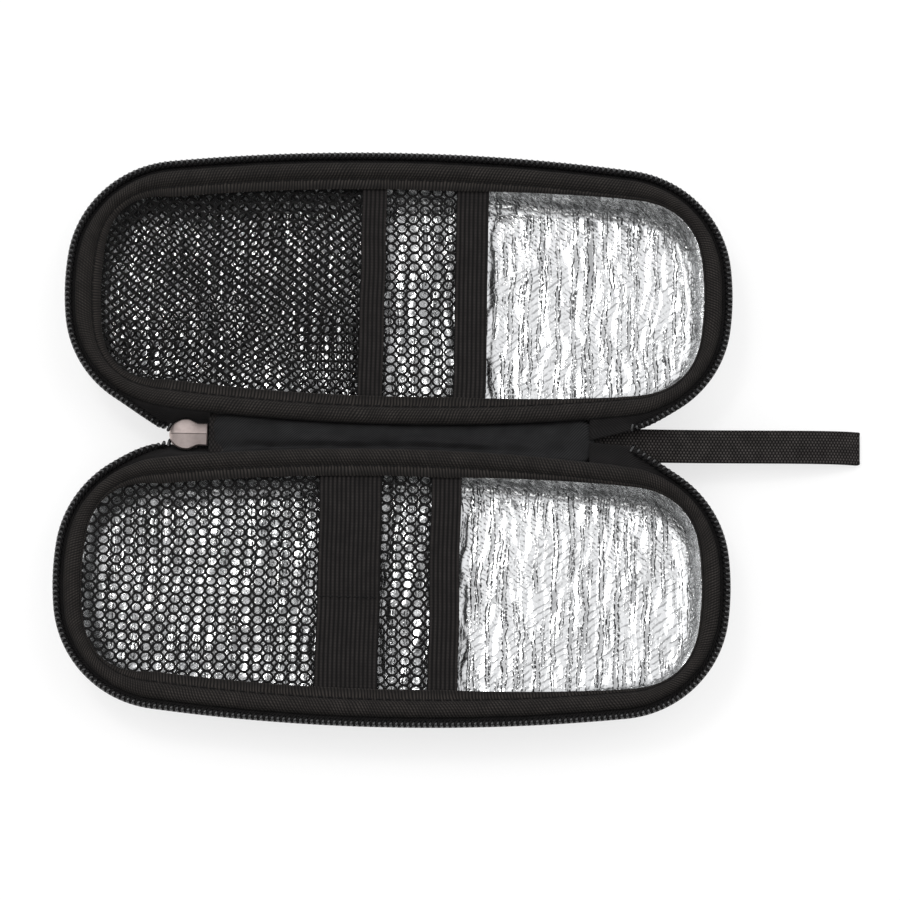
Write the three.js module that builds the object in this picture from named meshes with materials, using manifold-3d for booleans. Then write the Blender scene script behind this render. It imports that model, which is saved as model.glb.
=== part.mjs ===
// Insulin cooling case: a zipped clamshell with a foil lining, lying open on a table.
// Millimetres, +Z up. The origin is the middle of the base half's underside. X runs
// along the spine, and Y points from the base half across the spine to the lid half.
import * as THREE from 'three';
import { mergeVertices } from 'three/addons/utils/BufferGeometryUtils.js';
import Module from 'manifold-3d';

const wasm = await Module();
wasm.setup();

// Outline of each half, measured over the zip coil
const caseLength = 200;
const caseWidth = 87;
const longSideRadius = 600; // the long sides bow outwards a little
const endRadius = 80;
const cornerRadius = 34;
const fitGap = 0.3;

// The three nested trays of a half: moulded shell, foam and foil
const rimHeight = 17.5;
const shellInset = 3.5; // from the coil's outer edge in to the shell's rim
const shellWall = 2.2;
const foamWall = 2;
const foilWall = 0.5;
const wallDraft = THREE.MathUtils.degToRad(8);
const bottomRadius = 9;
const cornerSlack = 1.5; // the foam is this much thinner in the corners, which squares them

// Rim binding: a rounded piping with a flat lip inside it, wide on the long sides
const bindingInset = 3.3;
const pipingWidth = 4.9;
const pipingHeight = 2.4;
const lipThickness = 0.7;
const sideLip = 3.4;
const endLip = 0.6;

// Zip tape and coil, which lean out from the rim
const tapeThickness = 0.5;
const tapeTuck = 3; // how far the tape reaches in under the binding
const coilInset = 1.35;
const coilRise = 2.5; // the coil's middle above the rim
const coilLean = THREE.MathUtils.degToRad(35);
const coilWidth = 2.6;
const coilThickness = 1.4;
const toothPitch = 2.4;
const toothDepth = 1.1;
const zipSetback = 1.2; // where the zip starts, past the point where corner and spine side meet
const leadLength = 15; // the stretch in which a coil leaves the rim for the spine
const leadGap = 3.4; // from the spine's middle line to a coil's end

// Spine
const spineWidth = 8; // rim to rim across the spine, and up the closed zip
const hingeRise = 0.5; // fold lines above the rim
const liningDrop = 1; // the lining's face under the fold lines
const liningThickness = 0.6;
const gussetThickness = 1.2;
const gussetEnd = 61;
const liningEnd = 59;

// Zip slider and pull tab
const sliderLength = 11.5;
const sliderWidth = 9.4;
const neckLength = 3.6;
const neckWidth = 6.8;
const plateThickness = 1.2;
const sliderRidge = 0.4;
const channelHeight = 2.6;
const slideTravel = 3;
const lugSpan = 4; // inside the lug, along the slider
const lugHeight = 2.2;
const lugBar = 1.2;
const lugWidth = 2;
const tabLength = 22;
const tabWidth = 7.4;
const tabThickness = 1.4;
const tabEye = 3.8;
const tabClearance = 0.6;

// Pockets and elastic, each placed by its left and right edge along X
const netThickness = 0.5;
const netPitch = 7.6;
const netThread = 1.4;
const netBorder = 1.6;
const elasticThickness = 0.8;
const ribPitch = 1.5;
const ribDepth = 0.25;
const baseElastics = { penStrap: [-22, -3.5], pocketHem: [11.1, 20] };
const lidElastics = { penStrap: [-11.7, -4.3], pocketHem: [16.7, 26.4] };

// Wrist strap: one webbing folded into a loop, both ends sewn under the gusset
const strapWidth = 10;
const strapThickness = 1;
const strapReach = 79.5;
const strapDrift = 3.2; // how far the loop's end lies to the lid's side
const strapCrown = 10.5; // height of the upper layer at mid reach

// Sizes that follow from the ones above
const halfLength = caseLength / 2;
const halfWidth = caseWidth / 2;
const longCentre = longSideRadius - halfWidth;
const endCentre = halfLength - endRadius;
const foilDepth = shellWall + fitGap + foamWall + fitGap;
const openingInset = shellInset + foilDepth + foilWall + fitGap;
const tapeHeight = rimHeight + fitGap;
const bindingHeight = tapeHeight + tapeThickness + fitGap;
const hingeHeight = rimHeight + hingeRise;
const baseFold = halfWidth - shellInset;
const spineMiddle = baseFold + spineWidth / 2;
const gussetTop = hingeHeight - liningDrop - liningThickness - fitGap;
const gussetBottom = gussetTop - gussetThickness;
const channelTop = gussetBottom;
const channelBottom = channelTop - channelHeight;
const channelMiddle = (channelTop + channelBottom) / 2;
const pivotHeight = channelBottom - plateThickness - lugHeight / 2;

// Materials
const finish = (color, roughness, metalness = 0) =>
  new THREE.MeshStandardMaterial({ color, roughness, metalness });
const wovenCover = finish('#232120', 0.95);
const foam = finish('#d9d8d4', 0.9);
const foil = finish('#e3e5e8', 0.25, 0.9);
const bindingTape = finish('#2a2827', 0.9);
const zipTape = finish('#1d1c1c', 0.9);
const nylon = finish('#141414', 0.35);
const netting = finish('#1a1918', 0.85);
const elastic = finish('#262423', 0.9);
const satin = finish('#303032', 0.6);
const nickel = finish('#a79c97', 0.3, 0.95);
const webbing = finish('#211f1e', 0.95);

// Surfaces and solids

// Triangles that close one ring, turning the same way as the ring
function capFaces(ring) {
  const normal = new THREE.Vector3();
  ring.forEach((point, i) => normal.add(point.clone().cross(ring[(i + 1) % ring.length])));
  normal.normalize();
  const across = ring[1].clone().sub(ring[0]).normalize();
  const up = normal.clone().cross(across);
  const flat = ring.map((point) => new THREE.Vector2(point.dot(across), point.dot(up)));
  return THREE.ShapeUtils.triangulateShape(flat, []).map(([a, b, c]) => {
    const turn = flat[b].clone().sub(flat[a]).cross(flat[c].clone().sub(flat[a]));
    return turn > 0 ? [a, b, c] : [a, c, b];
  });
}

function signedVolume(points, index) {
  let volume = 0;
  for (let i = 0; i < index.length; i += 3) {
    const [a, b, c] = [points[index[i]], points[index[i + 1]], points[index[i + 2]]];
    volume += a.dot(b.clone().cross(c)) / 6;
  }
  return volume;
}

// Skins a list of rings with equal point counts. A looped list joins its last ring to its
// first, and any other list is capped at both ends.
function loft(rings, looped = false) {
  const count = rings[0].length;
  const points = rings.flat();
  const index = [];
  const bands = looped ? rings.length : rings.length - 1;
  for (let band = 0; band < bands; band++) {
    const here = band * count;
    const next = ((band + 1) % rings.length) * count;
    for (let i = 0; i < count; i++) {
      const j = (i + 1) % count;
      index.push(here + i, here + j, next + j, here + i, next + j, next + i);
    }
  }
  if (!looped) {
    const last = points.length - count;
    for (const [a, b, c] of capFaces(rings[0])) index.push(a, c, b);
    for (const [a, b, c] of capFaces(rings.at(-1))) index.push(last + a, last + b, last + c);
  }
  if (signedVolume(points, index) < 0) index.reverse();
  const geometry = new THREE.BufferGeometry().setFromPoints(points).setIndex(index);
  geometry.computeVertexNormals();
  return geometry;
}

// A flat shape drawn in X and Y, raised from one height to another
function slab(shape, bottom, top, curveSegments = 8) {
  const settings = { depth: top - bottom, bevelEnabled: false, curveSegments };
  return new THREE.ExtrudeGeometry(shape, settings).translate(0, 0, bottom);
}

// A section drawn in X and Z, carried along Y from one side to the other
function crosswise(shape, fromY, toY, curveSegments = 8) {
  const settings = { depth: toY - fromY, bevelEnabled: false, curveSegments };
  const geometry = new THREE.ExtrudeGeometry(shape, settings);
  return geometry.rotateX(Math.PI / 2).translate(0, toY, 0);
}

// A section drawn in Y and Z, carried along X from one end to the other
function lengthwise(shape, fromX, toX) {
  const settings = { depth: toX - fromX, bevelEnabled: false };
  const geometry = new THREE.ExtrudeGeometry(shape, settings);
  return geometry.rotateX(Math.PI / 2).rotateZ(Math.PI / 2).translate(fromX, 0, 0);
}

function block(x, y, z) {
  const size = [x[1] - x[0], y[1] - y[0], z[1] - z[0]];
  const middle = [(x[0] + x[1]) / 2, (y[0] + y[1]) / 2, (z[0] + z[1]) / 2];
  return new THREE.BoxGeometry(...size).translate(...middle);
}

function toSolid(geometry) {
  const bare = new THREE.BufferGeometry();
  bare.setAttribute('position', geometry.getAttribute('position'));
  if (geometry.index) bare.setIndex(geometry.index);
  const merged = mergeVertices(bare, 1e-4);
  const triVerts = new Uint32Array(merged.index.array);
  const vertProperties = merged.getAttribute('position').array;
  return new wasm.Manifold(new wasm.Mesh({ numProp: 3, vertProperties, triVerts }));
}

function toGeometry(solid) {
  const { vertProperties, triVerts } = solid.getMesh();
  const geometry = new THREE.BufferGeometry();
  geometry.setAttribute('position', new THREE.BufferAttribute(vertProperties, 3));
  geometry.setIndex(new THREE.BufferAttribute(triVerts, 1));
  geometry.computeVertexNormals();
  return geometry;
}

function named(name, geometry, material) {
  const mesh = new THREE.Mesh(geometry, material);
  mesh.name = name;
  return mesh;
}

// Outline of a half: eight arcs that run into one another

// The corner arc's centre lies where it touches the long side and the end from inside
function cornerCentre() {
  const toLong = longSideRadius - cornerRadius;
  const toEnd = endRadius - cornerRadius;
  const apart = Math.hypot(endCentre, longCentre);
  const along = (toLong ** 2 - toEnd ** 2 + apart ** 2) / (2 * apart);
  const aside = Math.sqrt(toLong ** 2 - along ** 2);
  const direction = new THREE.Vector2(endCentre, longCentre).divideScalar(apart);
  const middle = direction.clone().multiplyScalar(along).add(new THREE.Vector2(0, -longCentre));
  return middle.add(new THREE.Vector2(-direction.y, direction.x).multiplyScalar(-aside));
}

const corner = cornerCentre();
const cornerStart = Math.atan2(corner.y, corner.x - endCentre);
const cornerStop = Math.atan2(corner.y + longCentre, corner.x);

// One arc as its centre, radius and the angles that it runs between
const arc = (x, y, radius, from, to, steps) => ({ x, y, radius, from, to, steps });
const rightEnd = arc(endCentre, 0, endRadius, -cornerStart, cornerStart, 2);
const spineSide = arc(0, -longCentre, longSideRadius, cornerStop, Math.PI - cornerStop, 5);
const spineRight = arc(corner.x, corner.y, cornerRadius, cornerStart, cornerStop, 6);

const halfTurn = (a) => arc(-a.x, -a.y, a.radius, a.from + Math.PI, a.to + Math.PI, a.steps);
const mirrored = (a) => arc(-a.x, a.y, a.radius, Math.PI - a.to, Math.PI - a.from, a.steps);
const spineLeft = mirrored(spineRight);
const leftEnd = halfTurn(rightEnd);
const frontLeft = halfTurn(spineRight);
const frontSide = halfTurn(spineSide);
const frontRight = halfTurn(spineLeft);
const outline = [
  rightEnd, spineRight, spineSide, spineLeft, leftEnd, frontLeft, frontSide, frontRight,
];

// A place on an arc, with the direction that points out of the case
function station(a, angle) {
  const out = new THREE.Vector2(Math.cos(angle), Math.sin(angle));
  return { out, point: out.clone().multiplyScalar(a.radius).add(new THREE.Vector2(a.x, a.y)) };
}

const rimStations = outline.flatMap((a) =>
  Array.from({ length: a.steps }, (_, i) => station(a, a.from + ((a.to - a.from) * i) / a.steps)),
);

// A point at some inset from a place on the outline, moved in square to it
const inward = ({ point, out }, inset, z) =>
  new THREE.Vector3(point.x - out.x * inset, point.y - out.y * inset, z);

// Nought along the sides and ends, and one half way round a corner
const cornerShare = ({ out }) => (2 * out.x * out.y) ** 2;

// A ring at some inset, let out by a slack in the corners
const rimRing = (inset, z, slack = 0) =>
  rimStations.map((place) => inward(place, inset - slack * cornerShare(place), z));

// How far the opening reaches from the middle line at some place along X
function openingReach(x) {
  return Math.sqrt((longSideRadius - openingInset) ** 2 - x ** 2) - longCentre;
}

// Nested trays

// The surface that lies some depth inside the shell's outer face, from its rim to its floor
function traySurface(depth) {
  const radius = Math.max(bottomRadius - depth, 1);
  const rimInset = shellInset + depth;
  const centreHeight = depth + radius;
  const slope = (rimHeight - centreHeight) * Math.tan(wallDraft);
  const centreInset = rimInset + slope + radius / Math.cos(wallDraft);
  const steps = 3;
  const profile = [[rimInset, rimHeight]];
  for (let i = 0; i <= steps; i++) {
    const angle = Math.PI + wallDraft + ((Math.PI / 2 - wallDraft) * i) / steps;
    const inset = centreInset + radius * Math.cos(angle);
    profile.push([inset, centreHeight + radius * Math.sin(angle)]);
  }
  return profile;
}

function tray(outerDepth, wall, outerSlack, innerSlack) {
  const outside = traySurface(outerDepth).reverse();
  const inside = traySurface(outerDepth + wall);
  return loft([
    ...outside.map(([inset, z]) => rimRing(inset, z, outerSlack)),
    ...inside.map(([inset, z]) => rimRing(inset, z, innerSlack)),
  ]);
}

// Rim binding: the piping is part of an ellipse, narrower in the corners, and the lip widens
// towards the long sides
function bindingSection(place) {
  const lip = endLip + (sideLip - endLip) * place.out.y ** 6;
  const width = pipingWidth - cornerSlack * cornerShare(place);
  const middle = bindingInset + width / 2;
  const lastAngle = Math.asin(lipThickness / pipingHeight);
  const steps = 5;
  const section = [];
  for (let i = 0; i <= steps; i++) {
    const angle = Math.PI + ((lastAngle - Math.PI) * i) / steps;
    const inset = middle + (width / 2) * Math.cos(angle);
    section.push(inward(place, inset, bindingHeight + pipingHeight * Math.sin(angle)));
  }
  const edge = bindingInset + width + lip;
  section.push(inward(place, edge, bindingHeight + lipThickness));
  section.push(inward(place, edge, bindingHeight));
  return section;
}

// Zip: it starts at the spine's left end, runs round the three open sides and ends at the
// spine's right end
const zipRun = [
  { ...spineLeft, from: spineLeft.from + zipSetback / cornerRadius },
  leftEnd, frontLeft, frontSide, frontRight, rightEnd,
  { ...spineRight, to: spineRight.to - zipSetback / cornerRadius },
];
const arcLength = (a) => a.radius * (a.to - a.from);
const zipLength = zipRun.reduce((sum, a) => sum + arcLength(a), 0);

function zipStation(distance) {
  let rest = distance;
  for (const a of zipRun) {
    if (rest <= arcLength(a) || a === zipRun.at(-1)) return station(a, a.from + rest / a.radius);
    rest -= arcLength(a);
  }
}

// The coil's middle at some distance along the zip, and how flat it lies there. Near each
// end the coil leaves the rim and dips to the spine: into the slider on the left, and over
// the wrist strap on the right.
function coilPlace(distance) {
  const place = zipStation(distance);
  const atLeft = distance < zipLength / 2;
  const toEnd = atLeft ? distance : zipLength - distance;
  const lead = 1 - THREE.MathUtils.smoothstep(toEnd, 0, leadLength);
  const middle = inward(place, coilInset, rimHeight + coilRise);
  const endHeight = atLeft ? channelMiddle : rimHeight - fitGap;
  middle.y = THREE.MathUtils.lerp(middle.y, spineMiddle - leadGap, lead);
  middle.z = THREE.MathUtils.lerp(middle.z, endHeight, lead);
  const lean = coilLean * (1 - lead);
  const { x, y } = place.out;
  const across = new THREE.Vector3(x * Math.cos(lean), y * Math.cos(lean), Math.sin(lean));
  const up = new THREE.Vector3(-x * Math.sin(lean), -y * Math.sin(lean), Math.cos(lean));
  return { place, middle, across, up };
}

const offset = ({ middle, across, up }, u, v) =>
  middle.clone().addScaledVector(across, u).addScaledVector(up, v);

// Teeth: the coil's outer edge runs out and in once for each tooth
function zipCoil() {
  const teeth = Math.round(zipLength / toothPitch);
  const rings = [];
  for (let i = 0; i <= 2 * teeth; i++) {
    const place = coilPlace((zipLength * i) / (2 * teeth));
    const tip = i % 2 ? coilWidth / 2 : coilWidth / 2 - toothDepth;
    rings.push([
      offset(place, -coilWidth / 2, -coilThickness / 2),
      offset(place, tip, 0),
      offset(place, -coilWidth / 2, coilThickness / 2),
    ]);
  }
  return loft(rings);
}

// Tape: from its tuck under the binding over the shell's edge to the coil
function zipTapeStrip() {
  const steps = 44;
  const reach = -coilWidth / 2 - fitGap;
  const rings = [];
  for (let i = 0; i <= steps; i++) {
    const place = coilPlace((zipLength * i) / steps);
    const under = (inset, lift) => inward(place.place, inset, tapeHeight + lift);
    rings.push([
      under(bindingInset + tapeTuck, 0),
      under(bindingInset - 0.4, 0),
      offset(place, reach, -tapeThickness / 2),
      offset(place, reach, tapeThickness / 2),
      under(bindingInset - 0.25, tapeThickness),
      under(bindingInset + tapeTuck, tapeThickness),
    ]);
  }
  return loft(rings);
}

// Mesh pocket: a flat net that fills the opening from its left end to under the hem
function pocketNet(mouth) {
  const edge = [];
  rimRing(openingInset, 0, cornerSlack).forEach((here, i, ring) => {
    const next = ring[(i + 1) % ring.length];
    if (here.x <= mouth) edge.push(new THREE.Vector2(here.x, here.y));
    if (here.x <= mouth !== next.x <= mouth) {
      const share = (mouth - here.x) / (next.x - here.x);
      edge.push(new THREE.Vector2(mouth, here.y + (next.y - here.y) * share));
    }
  });
  const net = new THREE.Shape(edge);
  const gapRadius = (netPitch - netThread) / Math.sqrt(3);
  const rowPitch = netPitch * Math.sin(Math.PI / 3);
  const rows = Math.ceil(halfWidth / rowPitch);
  const columns = Math.ceil(halfLength / netPitch);
  for (let row = -rows; row <= rows; row++) {
    for (let column = -columns; column <= columns; column++) {
      const middle = new THREE.Vector2((column + (row % 2 ? 0.5 : 0)) * netPitch, row * rowPitch);
      if (depthInside(edge, middle) < gapRadius + netBorder) continue;
      net.holes.push(new THREE.Path(hexagon(middle, gapRadius)));
    }
  }
  const top = bindingHeight - fitGap - elasticThickness - fitGap;
  return slab(net, top - netThickness, top);
}

function hexagon(middle, radius) {
  return Array.from({ length: 6 }, (_, i) => {
    const angle = ((i + 0.5) * Math.PI) / 3;
    const spoke = new THREE.Vector2(Math.cos(angle), Math.sin(angle));
    return spoke.multiplyScalar(radius).add(middle);
  });
}

// How far a point lies inside a convex outline, and below nought outside it
function depthInside(edge, point) {
  const depths = edge.map((here, i) => {
    const side = edge[(i + 1) % edge.length].clone().sub(here);
    return side.cross(point.clone().sub(here)) / side.length();
  });
  return Math.min(...depths);
}

// Elastic with ribs along its length, stretched across the opening under the binding's lip
function elasticBand([left, right]) {
  const top = bindingHeight - fitGap;
  const ribs = Math.round((right - left) / ribPitch);
  const pitch = (right - left) / ribs;
  const section = new THREE.Shape();
  section.moveTo(right, top - elasticThickness);
  section.lineTo(right, top - ribDepth);
  for (let i = ribs; i > 0; i--) {
    const start = left + i * pitch;
    section.lineTo(start - 0.2 * pitch, top);
    section.lineTo(start - 0.8 * pitch, top);
    section.lineTo(start - pitch, top - ribDepth);
  }
  section.lineTo(left, top - elasticThickness);
  const reach = Math.min(openingReach(left), openingReach(right));
  return crosswise(section, -reach, reach);
}

// One half of the case, its opening upwards and its spine side towards +Y
function caseHalf(name, elastics) {
  const half = new THREE.Group();
  const [hemLeft, hemRight] = elastics.pocketHem;
  half.add(
    named(`${name}_shell`, tray(0, shellWall, 0, 0), wovenCover),
    named(`${name}_foam`, tray(shellWall + fitGap, foamWall, 0, cornerSlack), foam),
    named(`${name}_foil_lining`, tray(foilDepth, foilWall, cornerSlack, cornerSlack), foil),
    named(`${name}_rim_binding`, loft(rimStations.map(bindingSection), true), bindingTape),
    named(`${name}_zip_tape`, zipTapeStrip(), zipTape),
    named(`${name}_zip_coil`, zipCoil(), nylon),
    named(`${name}_mesh_pocket`, pocketNet((hemLeft + hemRight) / 2), netting),
    named(`${name}_pocket_hem`, elasticBand(elastics.pocketHem), elastic),
    named(`${name}_pen_strap`, elasticBand(elastics.penStrap), elastic),
  );
  return half;
}

// Spine

const zipStart = Math.abs(zipStation(0).point.x);
const sliderTip = -(zipStart - slideTravel - 2 * fitGap);
const sliderBack = sliderTip + sliderLength;

// A strip between the two bowed rims, with its right end rounded off by some radius
function spineStrip(left, right, round) {
  const radius = longSideRadius - shellInset + fitGap;
  const edgeAt = (x) => Math.sqrt(radius ** 2 - x ** 2) - longCentre;
  const angleAt = (x) => Math.acos(x / radius);
  const far = 2 * spineMiddle;
  const strip = new THREE.Shape();
  strip.moveTo(left, edgeAt(left));
  strip.absarc(0, -longCentre, radius, angleAt(left), angleAt(right - round), true);
  if (round) strip.quadraticCurveTo(right, edgeAt(right), right, edgeAt(right) + round);
  if (round) strip.lineTo(right, far - edgeAt(right) - round);
  if (round) strip.quadraticCurveTo(right, far - edgeAt(right), right - round, far - edgeAt(right - round));
  strip.absarc(0, far + longCentre, radius, -angleAt(right - round), -angleAt(left), true);
  return strip;
}

const liningTop = hingeHeight - liningDrop;
const gusset = slab(spineStrip(sliderBack + fitGap, gussetEnd, 0), gussetBottom, gussetTop, 10);
const lining = slab(
  spineStrip(sliderBack + fitGap, liningEnd, 4.5), liningTop - liningThickness, liningTop, 10,
);

// The closed end of the zip, sewn under the gusset and running into the slider's channel
const tailHalf = neckWidth / 2 - 1 - fitGap;
const zipTail = block(
  [sliderBack - neckLength, sliderBack + 12],
  [spineMiddle - tailHalf, spineMiddle + tailHalf],
  [channelBottom + fitGap, channelTop - fitGap],
);

// Zip slider, seen from its inner side: a round head to the left and a square neck

function sliderOutline() {
  const head = sliderWidth / 2;
  const blend = Math.PI / 4;
  const plate = new THREE.Shape();
  plate.moveTo(sliderLength, -neckWidth / 2);
  plate.lineTo(sliderLength, neckWidth / 2);
  plate.lineTo(sliderLength - neckLength, neckWidth / 2);
  plate.lineTo(head + head * Math.cos(blend), head * Math.sin(blend));
  plate.absarc(head, 0, head, blend, 2 * Math.PI - blend, false);
  plate.lineTo(sliderLength - neckLength, -neckWidth / 2);
  return plate;
}

// One blank with a ridged inner face, cut through by the channel. The channel is open all
// round the head, leaves a post in its middle, and narrows between two guides in the neck.
function sliderBody() {
  const side = sliderWidth / 2 + 1;
  const bottom = channelBottom - plateThickness;
  const shoulder = channelTop + plateThickness;
  const roof = new THREE.Shape([
    new THREE.Vector2(-side, bottom - 1),
    new THREE.Vector2(side, bottom - 1),
    new THREE.Vector2(side, shoulder),
    new THREE.Vector2(0, shoulder + sliderRidge),
    new THREE.Vector2(-side, shoulder),
  ]);
  const blank = toSolid(slab(sliderOutline(), bottom, shoulder + 1, 14));
  const ridged = blank.intersect(toSolid(lengthwise(roof, -1, sliderLength + 1)));
  const neckStart = sliderLength - neckLength;
  const slot = neckWidth / 2 - 1;
  const channel = new THREE.Shape([
    new THREE.Vector2(-1, -side),
    new THREE.Vector2(neckStart, -side),
    new THREE.Vector2(neckStart, -slot),
    new THREE.Vector2(sliderLength + 1, -slot),
    new THREE.Vector2(sliderLength + 1, slot),
    new THREE.Vector2(neckStart, slot),
    new THREE.Vector2(neckStart, side),
    new THREE.Vector2(-1, side),
  ]);
  const post = [[0.8, 0], [2, 0.7], [3.4, 0], [2, -0.7]];
  channel.holes.push(new THREE.Path(post.map(([x, y]) => new THREE.Vector2(x, y))));
  const grooved = ridged.subtract(toSolid(slab(channel, channelBottom, channelTop)));
  return toGeometry(grooved.add(toSolid(sliderLug())));
}

// The lug is an arch under the outer plate that the pull tab's bar runs through
function sliderLug() {
  const middle = sliderLength / 2;
  const top = channelBottom - plateThickness;
  const outer = lugSpan / 2 + lugBar;
  const arch = new THREE.Shape();
  arch.moveTo(middle - outer, top + 0.1);
  arch.lineTo(middle - outer, top - lugHeight);
  arch.lineTo(middle - outer + lugBar, top - lugHeight - lugBar);
  arch.lineTo(middle + outer - lugBar, top - lugHeight - lugBar);
  arch.lineTo(middle + outer, top - lugHeight);
  arch.lineTo(middle + outer, top + 0.1);
  arch.lineTo(middle + lugSpan / 2, top + 0.1);
  arch.lineTo(middle + lugSpan / 2, top - lugHeight);
  arch.lineTo(middle - lugSpan / 2, top - lugHeight);
  arch.lineTo(middle - lugSpan / 2, top + 0.1);
  return crosswise(arch, -lugWidth / 2, lugWidth / 2);
}

// Pull tab: its eye bar turns in the lug, and its tip rests just over the table
function pullTab() {
  const bar = tabThickness / 2;
  const half = tabWidth / 2;
  const tab = new THREE.Shape();
  tab.moveTo(-bar, -half * 0.75);
  tab.lineTo(tabLength * 0.45, -half);
  tab.lineTo(tabLength - half, -half);
  tab.absarc(tabLength - half, 0, half, -Math.PI / 2, Math.PI / 2, false);
  tab.lineTo(tabLength * 0.45, half);
  tab.lineTo(-bar, half * 0.75);
  const eyeHalf = lugWidth / 2 + fitGap;
  tab.holes.push(
    new THREE.Path([
      new THREE.Vector2(bar, -eyeHalf),
      new THREE.Vector2(bar + tabEye, -eyeHalf),
      new THREE.Vector2(bar + tabEye, eyeHalf),
      new THREE.Vector2(bar, eyeHalf),
    ]),
  );
  const grip = new THREE.Path();
  grip.absarc(tabLength - half, 0, half * 0.45, 0, 2 * Math.PI, true);
  tab.holes.push(grip);
  return slab(tab, -tabThickness / 2, tabThickness / 2, 10);
}

// Wrist strap: the webbing's middle line runs out along the top, folds and comes back below
function wristStrap() {
  const top = gussetBottom - fitGap - strapThickness / 2;
  const bend = (strapThickness + fitGap) / 2;
  const table = strapThickness / 2 + 0.2;
  const fold = strapReach - bend - strapThickness / 2;
  const point = (share, height) => new THREE.Vector2(fold * share, height);
  const crown = (8 * strapCrown - top - table - 2 * bend) / 3;
  const upper = new THREE.CubicBezierCurve(
    point(0, top),
    point(0.36, crown * 0.56),
    point(0.84, crown * 0.44),
    point(1, table + 2 * bend),
  );
  const turn = new THREE.EllipseCurve(fold, table + bend, bend, bend, Math.PI / 2, -Math.PI / 2, true);
  const lower = new THREE.CubicBezierCurve(
    point(1, table),
    point(0.6, table * 0.9),
    point(0.32, table * 0.9),
    point(0, top - 2 * bend),
  );
  const line = [
    ...upper.getPoints(12),
    ...turn.getPoints(5).slice(1, -1),
    ...lower.getPoints(12),
  ];
  const side = (hand) =>
    line.map((here, i) => {
      const run = line[Math.min(i + 1, line.length - 1)].clone().sub(line[Math.max(i - 1, 0)]);
      const normal = new THREE.Vector2(-run.y, run.x).normalize();
      if (i === 0 || i === line.length - 1) normal.set(0, Math.sign(run.x));
      return here.clone().addScaledVector(normal, (hand * strapThickness) / 2);
    });
  const band = new THREE.Shape([...side(1), ...side(-1).reverse()]);
  const loop = crosswise(band, -strapWidth / 2, strapWidth / 2);
  const places = loop.getAttribute('position');
  for (let i = 0; i < places.count; i += 1) {
    const drift = strapDrift * (places.getX(i) / strapReach) ** 2;
    places.setY(i, places.getY(i) + drift);
  }
  return loop;
}

// Assembly

const group = new THREE.Group();
group.name = 'insulin_cooling_case';

// The lid half mirrors the base half across the spine
const lid = caseHalf('lid', lidElastics);
lid.position.y = 2 * spineMiddle;
lid.scale.y = -1;
group.add(caseHalf('base', baseElastics), lid);

group.add(
  named('spine_gusset', gusset, wovenCover),
  named('spine_lining', lining, satin),
  named('zip_tail', zipTail, nylon),
);

const slider = named('zip_slider', sliderBody(), nickel);
slider.position.set(sliderTip, spineMiddle, 0);
const tab = named('zip_pull_tab', pullTab(), nickel);
tab.position.set(sliderTip + sliderLength / 2, spineMiddle, pivotHeight);
tab.rotation.y = Math.asin((pivotHeight - tabThickness / 2 - tabClearance) / tabLength);
const strap = named('wrist_strap', wristStrap(), webbing);
strap.position.set(gussetEnd - 1, spineMiddle, 0);
group.add(slider, tab, strap);

export default group;
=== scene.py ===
"""Insulin cooling case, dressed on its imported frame.

Two moulded halves lie open on a table. Each has a woven cover outside, crinkled foil inside, a mesh
pocket and elastic straps across its left side, and a bound rim with a nylon coil zip round it. A satin
spine joins the halves, with a nickel slider at its left end and a folded webbing loop at its right end.
Sizes are in millimetres, and finished meshes are in metres.
"""
import logging
import math
from dataclasses import dataclass, replace
from enum import Enum
from functools import partial
from typing import Any, Callable, ClassVar, Sequence

import bmesh
import bpy
import numpy as np
from bpy.types import Material, Node, NodeTree, Object
from mathutils import Matrix, Vector, noise


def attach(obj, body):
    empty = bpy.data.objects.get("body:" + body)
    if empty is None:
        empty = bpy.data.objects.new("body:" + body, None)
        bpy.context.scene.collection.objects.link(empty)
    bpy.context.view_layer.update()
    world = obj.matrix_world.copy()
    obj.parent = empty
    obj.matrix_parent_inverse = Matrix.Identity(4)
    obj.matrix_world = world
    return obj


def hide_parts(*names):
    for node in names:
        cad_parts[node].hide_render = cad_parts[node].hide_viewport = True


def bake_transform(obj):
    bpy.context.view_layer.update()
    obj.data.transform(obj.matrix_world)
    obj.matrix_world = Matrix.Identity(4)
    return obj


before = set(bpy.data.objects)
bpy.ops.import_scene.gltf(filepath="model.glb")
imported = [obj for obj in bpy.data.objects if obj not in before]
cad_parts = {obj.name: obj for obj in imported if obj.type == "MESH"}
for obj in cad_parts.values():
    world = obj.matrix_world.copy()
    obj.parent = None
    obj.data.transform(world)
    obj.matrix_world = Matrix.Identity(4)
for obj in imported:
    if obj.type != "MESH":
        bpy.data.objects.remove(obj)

LOG = logging.getLogger("cooling_case")
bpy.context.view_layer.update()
MM = 0.001
CLOTH_MAP = "Cloth"
SPINE_MIDDLE = 44.0  # the line between the two halves, along Y
UP = (0.0, 0.0, 1.0)
Feed = Any  # what a node's input takes: a node's first output, a socket or a plain value


class Body(Enum):
    """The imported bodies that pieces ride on."""

    BASE = "base"
    SPINE = "spine"
    LID = "lid"
    SLIDER = "slider"
    PULL_TAB = "pull_tab"
    STRAP = "strap"


class Slot(Enum):
    """The record's material slots."""

    COVER = "woven_cover"
    FOAM = "foam"
    FOIL = "foil"
    BINDING = "binding"
    TAPE = "zip_tape"
    COIL = "nylon_coil"
    NETTING = "netting"
    ELASTIC = "elastic"
    SATIN = "satin_lining"
    NICKEL = "nickel_plate"
    WEBBING = "webbing"


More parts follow.
